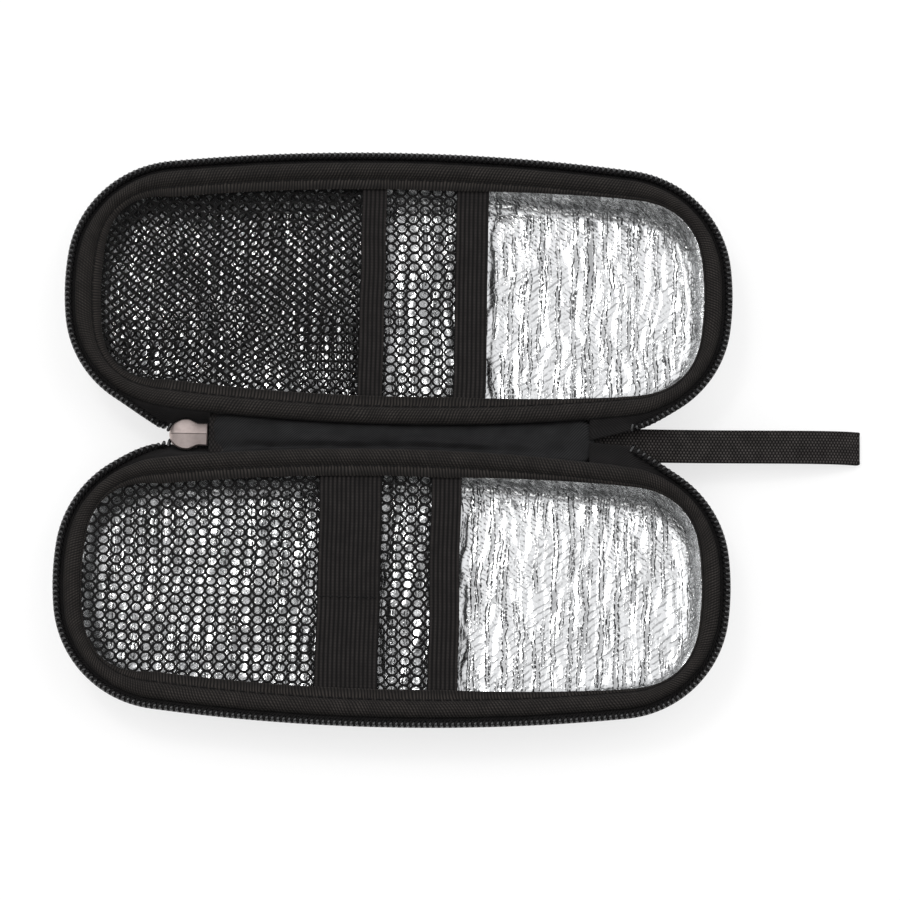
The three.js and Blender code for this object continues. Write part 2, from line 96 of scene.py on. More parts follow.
class Sum(Enum):
    """Sums that a Math node does."""

    ADD = "ADD"
    SUBTRACT = "SUBTRACT"
    MULTIPLY = "MULTIPLY"
    MULTIPLY_ADD = "MULTIPLY_ADD"
    MAXIMUM = "MAXIMUM"
    GREATER_THAN = "GREATER_THAN"
    ABSOLUTE = "ABSOLUTE"
    FLOOR = "FLOOR"
    FRACT = "FRACT"
    SIGN = "SIGN"
    SINE = "SINE"


# Node trees


def linear(code: str) -> tuple[float, float, float, float]:
    """Turns an sRGB hex colour into linear values.

    Args:
        code: Colour such as "#1e1c1b".

    Returns:
        Linear red, green, blue and an alpha of one.
    """
    values = [int(code[i : i + 2], 16) / 255 for i in (1, 3, 5)]
    red, green, blue = (
        v / 12.92 if v <= 0.04045 else ((v + 0.055) / 1.055) ** 2.4 for v in values
    )
    return (red, green, blue, 1.0)


def add_node(tree: NodeTree, kind: str | Sum, inputs: Any = (), **settings: Any) -> Node:
    """Adds a node with its settings, and links or sets its inputs.

    Args:
        tree: Tree that gets the node.
        kind: Blender's name for the node's type, or what a Math node does.
        inputs: What feeds its inputs, in their order or by their names.
        **settings: Properties of the node itself.

    Returns:
        The new node.
    """
    if isinstance(kind, Sum):
        settings["operation"] = kind.value
    node = tree.nodes.new("ShaderNodeMath" if isinstance(kind, Sum) else kind)
    for name, value in settings.items():
        setattr(node, name, value)
    for key, value in inputs.items() if isinstance(inputs, dict) else enumerate(inputs):
        if isinstance(value, Node):
            value = value.outputs[0]
        if isinstance(value, bpy.types.NodeSocket):
            tree.links.new(value, node.inputs[key])
        else:
            node.inputs[key].default_value = value
    return node


def ridges(tree: NodeTree, along: Feed, pitch: float, shift: Feed = 0.0) -> Node:
    """Draws even ridges along one coordinate.

    Args:
        tree: Material tree.
        along: The coordinate in metres.
        pitch: Distance between ridges in millimetres.
        shift: How far the ridges are moved, in radians.

    Returns:
        Node that runs from nought between ridges to one on them.
    """
    turn = add_node(tree, Sum.MULTIPLY_ADD, (along, math.tau / (pitch * MM), shift))
    wave = add_node(tree, Sum.SINE, (turn,))
    return add_node(tree, Sum.MULTIPLY_ADD, (wave, 0.5, 0.5))


# Finishes


@dataclass(frozen=True)
class Finish:
    """A surface finish that makes its own node material once."""

    title: ClassVar[str] = "finish"

    def material(self) -> Material:
        """Makes the material, or returns it where it is already made."""
        found = bpy.data.materials.get(self.title)
        if found:
            return found
        made = bpy.data.materials.new(self.title)
        made.use_nodes = True
        made.node_tree.nodes.clear()
        shader = self.shade(made.node_tree)
        add_node(made.node_tree, "ShaderNodeOutputMaterial", {"Surface": shader})
        return made

    def shade(self, tree: NodeTree) -> Node:
        """Builds the surface shader.

        Args:
            tree: Empty material tree.

        Returns:
            The shader node.
        """
        raise NotImplementedError


@dataclass(frozen=True)
class Cloth(Finish):
    """Black cloth whose threads show as paler crowns over darker gaps."""

    gap: str = "#0b0a0a"
    crown: str = "#2f2c2b"
    roughness: float = 0.85
    shine: float = 0.16  # threads shade one another, so little of a plain surface's shine is left
    sheen: float = 0.02
    relief: float = 0.16  # height of a thread's crown in millimetres
    wear_scale: float = 260.0
    least_crown: float = 0.55  # share of the crown's colour that is left where the cloth is worn

    def weave(self, tree: NodeTree, along: Feed, across: Feed) -> Node:
        """Draws the weave.

        Args:
            tree: Material tree.
            along: Distance along the piece, in metres.
            across: Distance across the piece, in metres.

        Returns:
            Node that runs from nought in the gaps to one on the crowns.
        """
        raise NotImplementedError

    def shade(self, tree: NodeTree) -> Node:
        """Builds a cloth shader from the piece's own map in metres."""
        add = partial(add_node, tree)
        parts = add("ShaderNodeSeparateXYZ", (add("ShaderNodeUVMap", uv_map=CLOTH_MAP),)).outputs
        crowns = self.weave(tree, parts[0], parts[1])
        place = add("ShaderNodeTexCoord").outputs["Object"]
        wear = add("ShaderNodeTexNoise", {"Vector": place, "Scale": self.wear_scale, "Detail": 3.0})
        worn = add(
            "ShaderNodeMapRange",
            {"Value": wear, "From Min": 0.3, "From Max": 0.7, "To Min": self.least_crown},
        )
        level = add(Sum.MULTIPLY, (crowns, worn))
        shades = {"Factor": level, "A": linear(self.gap), "B": linear(self.crown)}
        colour = add("ShaderNodeMix", shades, data_type="RGBA")
        bump = add("ShaderNodeBump", {"Height": crowns, "Strength": 0.9, "Distance": self.relief * MM})
        return add(
            "ShaderNodeBsdfPrincipled",
            {
                "Base Color": colour.outputs["Result"],
                "Roughness": self.roughness,
                "IOR": 1.5,
                "Specular IOR Level": self.shine,
                "Sheen Weight": self.sheen,
                "Sheen Roughness": 0.5,
                "Normal": bump,
            },
        )


@dataclass(frozen=True)
class PlainWeave(Cloth):
    """Polyester plain weave laminated on moulded foam sheet: a fine even check of dull dots."""

    title: ClassVar[str] = "polyester, plain weave on moulded foam"
    thread: float = 1.1  # real threads lie 0.4 mm apart, drawn coarser so that they show

    def weave(self, tree: NodeTree, along: Feed, across: Feed) -> Node:
        """Draws crowns on the squares of a check."""
        warp = ridges(tree, along, self.thread)
        weft = ridges(tree, across, self.thread)
        return add_node(tree, Sum.ABSOLUTE, (add_node(tree, Sum.SUBTRACT, (warp, weft)),))


@dataclass(frozen=True)
class Grosgrain(Cloth):
    """Polyester grosgrain binding: dull ribs that run square to the edge, broken by fine weft threads."""

    title: ClassVar[str] = "polyester, grosgrain binding tape"
    gap: str = "#0a0909"
    crown: str = "#393532"
    rib: float = 0.95  # real ribs lie 0.7 mm apart, drawn coarser so that they show
    weft: float = 0.9
    waver: float = 9.0
    waver_turn: float = 14.0  # how far the ribs are moved where the tape is eased, in radians

    def weave(self, tree: NodeTree, along: Feed, across: Feed) -> Node:
        """Draws ribs that waver where the tape is eased round the edge, stepped on by each weft thread."""
        add = partial(add_node, tree)
        place = add("ShaderNodeTexCoord").outputs["Object"]
        ease = add("ShaderNodeTexNoise", {"Vector": place, "Scale": 1 / (self.waver * MM), "Detail": 1.0})
        stepped = add(Sum.MULTIPLY, (across, math.pi / (self.weft * MM)))
        rib = ridges(tree, along, self.rib, add(Sum.MULTIPLY_ADD, (ease, self.waver_turn, stepped)))
        weft = ridges(tree, across, self.weft)
        return add(Sum.MULTIPLY, (rib, add(Sum.MULTIPLY_ADD, (weft, 0.6, 0.4))))


@dataclass(frozen=True)
class RibbedElastic(Cloth):
    """Woven elastic: dull black, with a fine thread across each modelled rib."""

    title: ClassVar[str] = "polyester and rubber, ribbed woven elastic"
    gap: str = "#0a0909"
    crown: str = "#2b2827"
    relief: float = 0.08
    rib: float = 1.3
    thread: float = 0.9  # real threads lie 0.3 mm apart, drawn coarser so that they show

    def weave(self, tree: NodeTree, along: Feed, across: Feed) -> Node:
        """Draws threads across the ribs."""
        rib = ridges(tree, across, self.rib, -math.pi / 2)
        thread = ridges(tree, along, self.thread)
        broken = add_node(tree, Sum.MULTIPLY_ADD, (thread, 0.4, 0.6))
        return add_node(tree, Sum.MULTIPLY, (rib, broken))


@dataclass(frozen=True)
class SatinTwill(Cloth):
    """Polyester satin twill: smoother than the tapes, with fine slanted lines and a soft shine."""

    title: ClassVar[str] = "polyester, satin twill lining"
    gap: str = "#030303"
    crown: str = "#2c2c2d"
    roughness: float = 0.5
    shine: float = 0.1
    relief: float = 0.06
    line: float = 0.85  # real twill lines lie 0.4 mm apart, drawn coarser so that they show
    slope: float = -1.4

    def weave(self, tree: NodeTree, along: Feed, across: Feed) -> Node:
        """Draws lines that slant across the strip."""
        return ridges(tree, add_node(tree, Sum.MULTIPLY_ADD, (across, self.slope, along)), self.line)


@dataclass(frozen=True)
class NarrowWebbing(Cloth):
    """Polyester narrow webbing: rows of short floats, each row half a float on from the last."""

    title: ClassVar[str] = "polyester, narrow woven webbing"
    gap: str = "#050505"
    crown: str = "#4b4745"
    shine: float = 0.1
    pick: float = 1.0
    row: float = 0.85

    def weave(self, tree: NodeTree, along: Feed, across: Feed) -> Node:
        """Draws floats in staggered rows."""
        add = partial(add_node, tree)
        swing = add(Sum.SINE, (add(Sum.MULTIPLY, (across, math.pi / (self.row * MM))),))
        shift = add(Sum.MULTIPLY, (add(Sum.SIGN, (swing,)), math.pi / 2))
        pick = ridges(tree, along, self.pick, shift)
        row = ridges(tree, across, self.row, -math.pi / 2)
        return add(Sum.MULTIPLY, (pick, add(Sum.MULTIPLY_ADD, (row, 0.7, 0.3))))


@dataclass(frozen=True)
class ZipTape(Cloth):
    """Polyester zip tape: a tight flat weave, almost without shine."""

    title: ClassVar[str] = "polyester, woven zip tape"
    gap: str = "#080808"
    crown: str = "#211f1f"
    relief: float = 0.08
    thread: float = 0.9  # real threads lie 0.35 mm apart, drawn coarser so that they show

    def weave(self, tree: NodeTree, along: Feed, across: Feed) -> Node:
        """Draws a twill that leans one way."""
        return ridges(tree, add_node(tree, Sum.ADD, (along, across)), self.thread)


@dataclass(frozen=True)
class Yarn(Finish):
    """Spun polyester yarn: dull black with a faint fuzz of paler fibres."""

    title: ClassVar[str] = "polyester, knitted yarn"
    dark: str = "#060606"
    pale: str = "#151414"
    fuzz_scale: float = 2400.0
    fuzz: float = 0.08

    def shade(self, tree: NodeTree) -> Node:
        """Builds a rough fibre shader."""
        add = partial(add_node, tree)
        place = add("ShaderNodeTexCoord").outputs["Object"]
        fibre = add("ShaderNodeTexNoise", {"Vector": place, "Scale": self.fuzz_scale, "Detail": 2.0})
        shades = {"Factor": fibre, "A": linear(self.dark), "B": linear(self.pale)}
        colour = add("ShaderNodeMix", shades, data_type="RGBA")
        bump = add("ShaderNodeBump", {"Height": fibre, "Strength": 0.6, "Distance": self.fuzz * MM})
        return add(
            "ShaderNodeBsdfPrincipled",
            {
                "Base Color": colour.outputs["Result"],
                "Roughness": 0.7,
                "IOR": 1.5,
                "Specular IOR Level": 0.2,
                "Normal": bump,
            },
        )


@dataclass(frozen=True)
class NylonFilament(Finish):
    """Nylon monofilament: smooth drawn plastic, so each turn has a small sharp highlight."""

    title: ClassVar[str] = "nylon, drawn monofilament coil"
    colour: str = "#0c0c0d"
    rub_scale: float = 900.0

    def shade(self, tree: NodeTree) -> Node:
        """Builds a glossy black plastic with faint rubbing marks."""
        add = partial(add_node, tree)
        place = add("ShaderNodeTexCoord").outputs["Object"]
        rub = add("ShaderNodeTexNoise", {"Vector": place, "Scale": self.rub_scale, "Detail": 2.0})
        rough = add("ShaderNodeMapRange", {"Value": rub, "To Min": 0.16, "To Max": 0.34})
        return add(
            "ShaderNodeBsdfPrincipled",
            {"Base Color": linear(self.colour), "Roughness": rough, "IOR": 1.53, "Specular IOR Level": 0.8},
        )


@dataclass(frozen=True)
class NickelPlate(Finish):
    """Nickel on cast zinc, tumbled: a warm grey metal, half dull, with small dents and a few pits."""

    title: ClassVar[str] = "nickel-plated zinc, tumbled"
    colour: str = "#d8cac5"
    worn: str = "#b0a29d"
    dent_scale: float = 700.0
    pit_scale: float = 420.0
    relief: float = 0.05

    def shade(self, tree: NodeTree) -> Node:
        """Builds a dented metal shader."""
        add = partial(add_node, tree)
        place = add("ShaderNodeTexCoord").outputs["Object"]
        dents = add("ShaderNodeTexNoise", {"Vector": place, "Scale": self.dent_scale, "Detail": 4.0})
        pits = add("ShaderNodeTexVoronoi", {"Vector": place, "Scale": self.pit_scale})
        pit = add("ShaderNodeMapRange", {"Value": pits, "From Min": 0.05, "From Max": 0.16})
        shades = {"Factor": dents, "A": linear(self.worn), "B": linear(self.colour)}
        colour = add("ShaderNodeMix", shades, data_type="RGBA").outputs["Result"]
        rough = add("ShaderNodeMapRange", {"Value": dents, "To Min": 0.5, "To Max": 0.3})
        height = add(Sum.ADD, (dents, pit))
        bump = add("ShaderNodeBump", {"Height": height, "Strength": 0.35, "Distance": self.relief * MM})
        surface = {"Base Color": colour, "Metallic": 1.0, "Roughness": rough, "Normal": bump}
        return add("ShaderNodeBsdfPrincipled", surface)


@dataclass(frozen=True)
class Creases:
    """Sizes of a set of creases, in millimetres, and the numbers that scatter them."""

    pitch: float
    half_width: float  # of the widest crease
    edge: float
    run: float
    rarity: float
    start: float


@dataclass(frozen=True)
class CrinkledFoil(Finish):
    """Aluminium film on foam, embossed and creased: mirror facets cut by creases, whose grey bands and dark
    edges are painted shade.
    """

    title: ClassVar[str] = "aluminium film, embossed and creased"
    bright: str = "#eeefef"
    folded: str = "#1d1e1f"  # painted shade: the dark colour that creases, emboss lines and specks are drawn in, standing in for the shade and dark reflections in the film's folds
    halves_apart: float = 88.0
    relief: float = 0.12
    lumps: ClassVar[dict[str, tuple[float, float]]] = {
        "sway": (11.0, 3.0), "shake": (2.4, 2.0), "grit": (0.9, 1.0), "waves": (2.6, 2.0),
    }  # size of each noise's lumps in millimetres, and its detail
    long_folds: ClassVar[Creases] = Creases(4.7, 0.7, 0.28, 26.0, 0.41, 0.3)
    short_folds: ClassVar[Creases] = Creases(2.7, 0.5, 0.24, 13.0, 0.45, 0.8)
    falling_pitch: float = 1.5
    rising_pitch: float = 2.2

    def clouds(self, tree: NodeTree, place: Feed, label: str) -> Node:
        """Draws one of the foil's noises, around nought.

        Args:
            tree: Material tree.
            place: Where it is read.
            label: Which noise it is.

        Returns:
            Node that runs from minus one to one.
        """
        size, detail = self.lumps[label]
        cloud = add_node(
            tree, "ShaderNodeTexNoise", {"Vector": place, "Scale": 1 / (size * MM), "Detail": detail}
        )
        return add_node(tree, Sum.MULTIPLY_ADD, (cloud, 2.0, -1.0))

    def creases(self, tree: NodeTree, x: Feed, y: Feed, dashes: Feed, kind: Creases) -> Node:
        """Draws creases across the case in painted shade: grey bands with darker broken edges, each ending
        after a run.

        Args:
            tree: Material tree.
            x: Bent place along the case.
            y: Place across it.
            dashes: Fast noise that breaks the edges.
            kind: Sizes of the creases.

        Returns:
            Node with the darkness of the creases.
        """
        add = partial(add_node, tree)
        count = add(Sum.MULTIPLY_ADD, (x, 1 / (kind.pitch * MM), kind.start))
        number = add(Sum.FLOOR, (count,))
        part = add(Sum.FRACT, (count,))
        aside = add(Sum.ABSOLUTE, (add(Sum.MULTIPLY_ADD, (part, kind.pitch, -kind.pitch / 2)),))
        row = add(Sum.MULTIPLY_ADD, (number, 5.37, 0.0))
        way = add(Sum.MULTIPLY_ADD, (y, 1 / (kind.run * MM), 0.0))
        spot = add("ShaderNodeCombineXYZ", (row, way, kind.start))
        chance = add("ShaderNodeTexNoise", {"Vector": spot, "Scale": 1.0, "Detail": 2.0})
        inside = add(Sum.MULTIPLY_ADD, (chance, -1.6 * kind.half_width, aside))
        fill = add("ShaderNodeMapRange", (inside, kind.edge * 0.5, -kind.edge * 0.5))
        off_edge = add(Sum.ABSOLUTE, (inside,))
        edge = add("ShaderNodeMapRange", (off_edge, kind.edge, kind.edge * 0.3))
        dashed = add("ShaderNodeMapRange", (dashes, -0.35, 0.15))
        broken = add(Sum.MULTIPLY_ADD, (edge, dashed, 0.0))
        depth = add(Sum.MULTIPLY_ADD, (chance, 0.9, -0.2))
        filled = add(Sum.MULTIPLY_ADD, (fill, depth, 0.0))
        drawn = add(Sum.MULTIPLY_ADD, (broken, 0.9, filled))
        shown = add("ShaderNodeMapRange", (chance, kind.rarity, kind.rarity + 0.1))
        return add(Sum.MULTIPLY_ADD, (drawn, shown, 0.0))

    def slants(self, tree: NodeTree, slope: Feed, pitch: float, patch: Feed, broken: Feed) -> Node:
        """Draws fine slanted emboss lines in patches.

        Args:
            tree: Material tree.
            slope: Distance across the lines.
            pitch: Distance between lines in millimetres.
            patch: One where the lines are, and nought elsewhere.
            broken: What breaks them into strokes.

        Returns:
            Node that is one on the lines.
        """
        line = add_node(tree, "ShaderNodeMapRange", (ridges(tree, slope, pitch), 0.62, 0.92))
        patched = add_node(tree, Sum.MULTIPLY_ADD, (line, patch, 0.0))
        return add_node(tree, Sum.MULTIPLY_ADD, (patched, broken, 0.0))

    def shade(self, tree: NodeTree) -> Node:
        """Builds a metal with creases across the case and slanted emboss lines between them."""
        add = partial(add_node, tree)
        coords = add("ShaderNodeTexCoord").outputs
        place = coords["Object"]
        x, y, z = add("ShaderNodeSeparateXYZ", (place,)).outputs
        on_lid = add(Sum.GREATER_THAN, (y, SPINE_MIDDLE * MM))
        from_middle = add(Sum.MULTIPLY_ADD, (on_lid, -self.halves_apart * MM, y))
        sway, shake, grit = (self.clouds(tree, place, label) for label in ("sway", "shake", "grit"))

        # On the walls the film is crumpled, in strokes drawn out downwards
        upright = add("ShaderNodeSeparateXYZ", (coords["Normal"],)).outputs[2]
        wall = add("ShaderNodeMapRange", (upright, 0.9, 0.6))
        leaning, sunk = add(Sum.MULTIPLY_ADD, (z, 0.7, x)), add(Sum.MULTIPLY_ADD, (z, 0.25, 0.0))
        waves = self.clouds(tree, add("ShaderNodeCombineXYZ", (leaning, y, sunk)), "waves")
        bends = add("ShaderNodeMapRange", (add(Sum.ABSOLUTE, (waves,)), 0.16, 0.02))
        crumple = add(Sum.MULTIPLY_ADD, (bends, wall, 0.0))

        # Long and short creases run across the floor
        swayed = add(Sum.MULTIPLY_ADD, (sway, 1.6 * MM, x))
        bent = add(Sum.MULTIPLY_ADD, (shake, 0.55 * MM, swayed))
        both = [self.creases(tree, bent, y, grit, kind) for kind in (self.long_folds, self.short_folds)]
        off_wall = add(Sum.MULTIPLY_ADD, (wall, -0.7, 1.0))
        crease = add(Sum.MULTIPLY_ADD, (add(Sum.MAXIMUM, both), off_wall, 0.0))

        # Emboss lines fall on the side by the far wall and rise on the other; they are drawn darker as
        # painted shade, and raised a little
        leant = add(Sum.MULTIPLY_ADD, (sway, 1.5 * MM, y))
        wavered = add(Sum.MULTIPLY_ADD, (shake, 0.8 * MM, leant))
        blur = add(Sum.MULTIPLY_ADD, (sway, 1.2, 0.0))
        high = add(Sum.MULTIPLY_ADD, (from_middle, 0.5 / (25 * MM), blur))
        falling = self.slants(
            tree,
            add(Sum.MULTIPLY_ADD, (x, 0.8, wavered)),
            self.falling_pitch,
            add("ShaderNodeMapRange", (high, -0.1, 0.25)),
            add("ShaderNodeMapRange", (grit, -0.15, 0.15)),
        )
        rising = self.slants(
            tree,
            add(Sum.MULTIPLY_ADD, (x, -0.75, wavered)),
            self.rising_pitch,
            add("ShaderNodeMapRange", (high, 0.2, -0.15)),
            add("ShaderNodeMapRange", (shake, -0.3, 0.05)),
        )
        lines = add(Sum.MULTIPLY_ADD, (falling, 0.7, add(Sum.MULTIPLY_ADD, (rising, 0.5, 0.0))))

        # Painted shade of all the marks, and the height that they give the film
        # Strokes on the walls and fine specks everywhere are painted shade, darkening the colour only
        struck = add(Sum.MULTIPLY_ADD, (add("ShaderNodeMapRange", (waves, 0.1, 0.3)), wall, 0.0))
        painted_wall_shade = add(Sum.MULTIPLY_ADD, (struck, 0.6, 0.0))
        painted_specks = add(Sum.MULTIPLY_ADD, (add("ShaderNodeMapRange", (grit, 0.15, 0.5)), 0.3, painted_wall_shade))
        dark = add(Sum.MAXIMUM, (add(Sum.MAXIMUM, (lines, painted_specks)), crease))
        shades = {"Factor": dark, "A": linear(self.bright), "B": linear(self.folded)}
        colour = add("ShaderNodeMix", shades, data_type="RGBA", clamp_factor=True).outputs["Result"]
        smooth = add(Sum.MULTIPLY_ADD, (lines, 0.3, add(Sum.MULTIPLY_ADD, (shake, 0.6, crease))))
        height = add(Sum.MULTIPLY_ADD, (crumple, 3.0, smooth))
        bump = add("ShaderNodeBump", {"Height": height, "Strength": 0.9, "Distance": self.relief * MM})
        surface = {"Base Color": colour, "Metallic": 1.0, "Roughness": 0.22, "Normal": bump}
        return add("ShaderNodeBsdfPrincipled", surface)


@dataclass(frozen=True)
class InsulatingFoam(Finish):
    """Closed-cell foam: pale, matt and finely pitted."""

    title: ClassVar[str] = "polyethylene, closed-cell foam"
    colour: str = "#d9d8d4"
    cell: float = 0.8
    relief: float = 0.1

    def shade(self, tree: NodeTree) -> Node:
        """Builds a matt pitted shader."""
        add = partial(add_node, tree)
        place = add("ShaderNodeTexCoord").outputs["Object"]
        cells = add("ShaderNodeTexVoronoi", {"Vector": place, "Scale": 1 / (self.cell * MM)})
        bump = add("ShaderNodeBump", {"Height": cells, "Strength": 0.5, "Distance": self.relief * MM})
        surface = {"Base Color": linear(self.colour), "Roughness": 0.9, "Normal": bump}
        return add("ShaderNodeBsdfPrincipled", surface)


@dataclass(frozen=True)
class StudioPaper(Finish):
    """White backdrop paper: flat and matt, with hardly any tooth."""

    title: ClassVar[str] = "paper, uncoated studio roll"
    colour: str = "#fafaf9"
    glow: float = 0.7  # share of plain white that the paper shows, so that it comes out white
    tooth_scale: float = 800.0
    relief: float = 0.1

    def shade(self, tree: NodeTree) -> Node:
        """Builds a matt white shader with a faint tooth."""
        add = partial(add_node, tree)
        place = add("ShaderNodeTexCoord").outputs["Object"]
        tooth = add("ShaderNodeTexNoise", {"Vector": place, "Scale": self.tooth_scale})
        bump = add("ShaderNodeBump", {"Height": tooth, "Strength": 0.05, "Distance": self.relief * MM})
        surface = {"Base Color": linear(self.colour), "Roughness": 0.95, "Normal": bump}
        paper = add("ShaderNodeBsdfPrincipled", surface)
        rays = add("ShaderNodeLightPath").outputs
        mirror = add(Sum.ADD, (rays["Is Glossy Ray"], rays["Is Transmission Ray"]))
        seen = add(Sum.ADD, (rays["Is Camera Ray"], mirror), use_clamp=True)
        share = add(Sum.MULTIPLY, (seen, self.glow))
        white = add("ShaderNodeEmission", {"Color": linear("#ffffff"), "Strength": 1.0})
        return add("ShaderNodeMixShader", (share, paper, white))


# Meshes


def mirrored(points: np.ndarray) -> np.ndarray:
    """Mirrors points across the spine's middle, from the base half to the lid half."""
    return points * [1.0, -1.0, 1.0] + [0.0, 2 * SPINE_MIDDLE, 0.0]


def at_height(flat: np.ndarray, height: float | np.ndarray) -> np.ndarray:
    """Lifts flat points to one height, or each to its own."""
    return np.column_stack([flat, np.broadcast_to(height, len(flat))])


def smooth(share: np.ndarray) -> np.ndarray:
    """Eases a share that runs from nought to one at both its ends."""
    return share * share * (3 - 2 * share)


def signed_volume(points: np.ndarray, faces: Sequence[Sequence[int]]) -> float:
    """Measures a closed surface's volume, below nought where it is inside out."""
    total = 0.0
    for face in faces:
        corners = points[list(face)]
        for i in range(1, len(face) - 1):
            total += float(np.dot(corners[0], np.cross(corners[i], corners[i + 1]))) / 6
    return total


def skin(
    name: str,
    grid: np.ndarray,
    finish: Finish,
    along: np.ndarray | None = None,
    across: np.ndarray | None = None,
    looped: bool = False,
    tube: bool = False,
    weld: bool = False,
) -> Object:
    """Skins a grid of points as one closed piece with its faces outwards.

    Args:
        name: Name of the piece.
        grid: Points in millimetres, by row and column.
        finish: Finish of the piece.
        along: Distance of each row in millimetres, with one more row where the rows loop.
        across: Distance of each column in millimetres, with one more where the columns loop.
        looped: Whether the last row joins the first.
        tube: Whether the last column joins the first. A tube that isn't looped is capped.
        weld: Whether points at one place are joined.

    Returns:
        The piece's object at the origin.
    """
    rows, columns = grid.shape[:2]
    counts = np.arange(rows if looped else rows - 1), np.arange(columns if tube else columns - 1)
    row, column = (side.ravel() for side in np.meshgrid(*counts, indexing="ij"))
    near_far = np.stack([row, row + 1, row + 1, row], axis=1)
    left_right = np.stack([column, column, column + 1, column + 1], axis=1)
    faces = ((near_far % rows) * columns + left_right % columns).tolist()
    points = grid.reshape(-1, 3)
    maps = None
    if along is not None and across is not None:
        maps = np.stack([along[near_far], across[left_right]], axis=2).reshape(-1, 2)
    if tube and not looped:
        last = (rows - 1) * columns
        faces += [list(range(columns))[::-1], list(range(last, last + columns))]
        if maps is not None:
            ends = np.stack([np.zeros(columns), across[:columns]], axis=1)
            maps = np.concatenate([maps, ends[::-1], ends])
    inside_out = signed_volume(points, faces) < 0
    mesh = bpy.data.meshes.new(name)
    mesh.from_pydata((points * MM).tolist(), [], faces)
    if maps is not None:
        layer = mesh.uv_layers.new(name=CLOTH_MAP)
        layer.data.foreach_set("uv", (maps * MM).astype(np.float32).ravel())
    if inside_out:
        mesh.flip_normals()
    if weld:
        work = bmesh.new()
        work.from_mesh(mesh)
        bmesh.ops.remove_doubles(work, verts=work.verts, dist=1e-6)
        work.to_mesh(mesh)
        work.free()
    mesh.shade_smooth()
    mesh.materials.append(finish.material())
    piece = bpy.data.objects.new(name, mesh)
    bpy.context.scene.collection.objects.link(piece)
    return piece


def run_lengths(points: np.ndarray, closed: bool = False) -> np.ndarray:
    """Measures the way along a line of points.

    Args:
        points: Points in order.
        closed: Whether the way back to the first point is added.

    Returns:
        Distance of each point from the first.
    """
    line = np.concatenate([points, points[:1]]) if closed else points
    steps = np.linalg.norm(np.diff(line, axis=0), axis=1)
    return np.concatenate([[0.0], np.cumsum(steps)])


def seat(piece: Object, body: Body, slot: Slot, *nodes: str) -> Object:
    """Rides a piece on its body and stands it in for CAD nodes.

    Args:
        piece: Finished piece.
        body: Body that carries it.
        slot: Material slot of the record; not used.
        *nodes: CAD nodes that it stands for.

    Returns:
        The same piece.
    """
    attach(piece, body.value)
    if nodes:
        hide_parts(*nodes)
    LOG.info("%s: %d faces on %s", piece.name, len(piece.data.polygons), body.value)
    return piece


def bridge(
    piece: Object,
    bodies: tuple[Body, Body],
    start: Sequence[float],
    end: Sequence[float],
    slot: Slot,
    *nodes: str,
) -> Object:
    """Fixes a piece of cloth that runs from one body to the next where it lies, and stands it in for CAD
    nodes.

    Args:
        piece: Finished piece.
        bodies: Body that it leaves and body that it reaches.
        start: Point in millimetres up to which it follows the first body; not used.
        end: Point in millimetres from which it follows the second body; not used.
        slot: Material slot of the record; not used.
        *nodes: CAD nodes that it stands for.

    Returns:
        The same piece.
    """
    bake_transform(piece)
    if nodes:
        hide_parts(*nodes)
    LOG.info("%s: %d faces from %s to %s", piece.name, len(piece.data.polygons), *(b.value for b in bodies))
    return piece


# Repeated shapes


@dataclass
class Places:
    """Places where a shape is repeated, with its directions there."""

    points: np.ndarray
    across: np.ndarray
    up: np.ndarray

    def mirrored(self) -> "Places":
        """Mirrors the places to the lid half."""
        turn = np.array([1.0, -1.0, 1.0])
        return Places(mirrored(self.points), self.across * turn, self.up * turn)


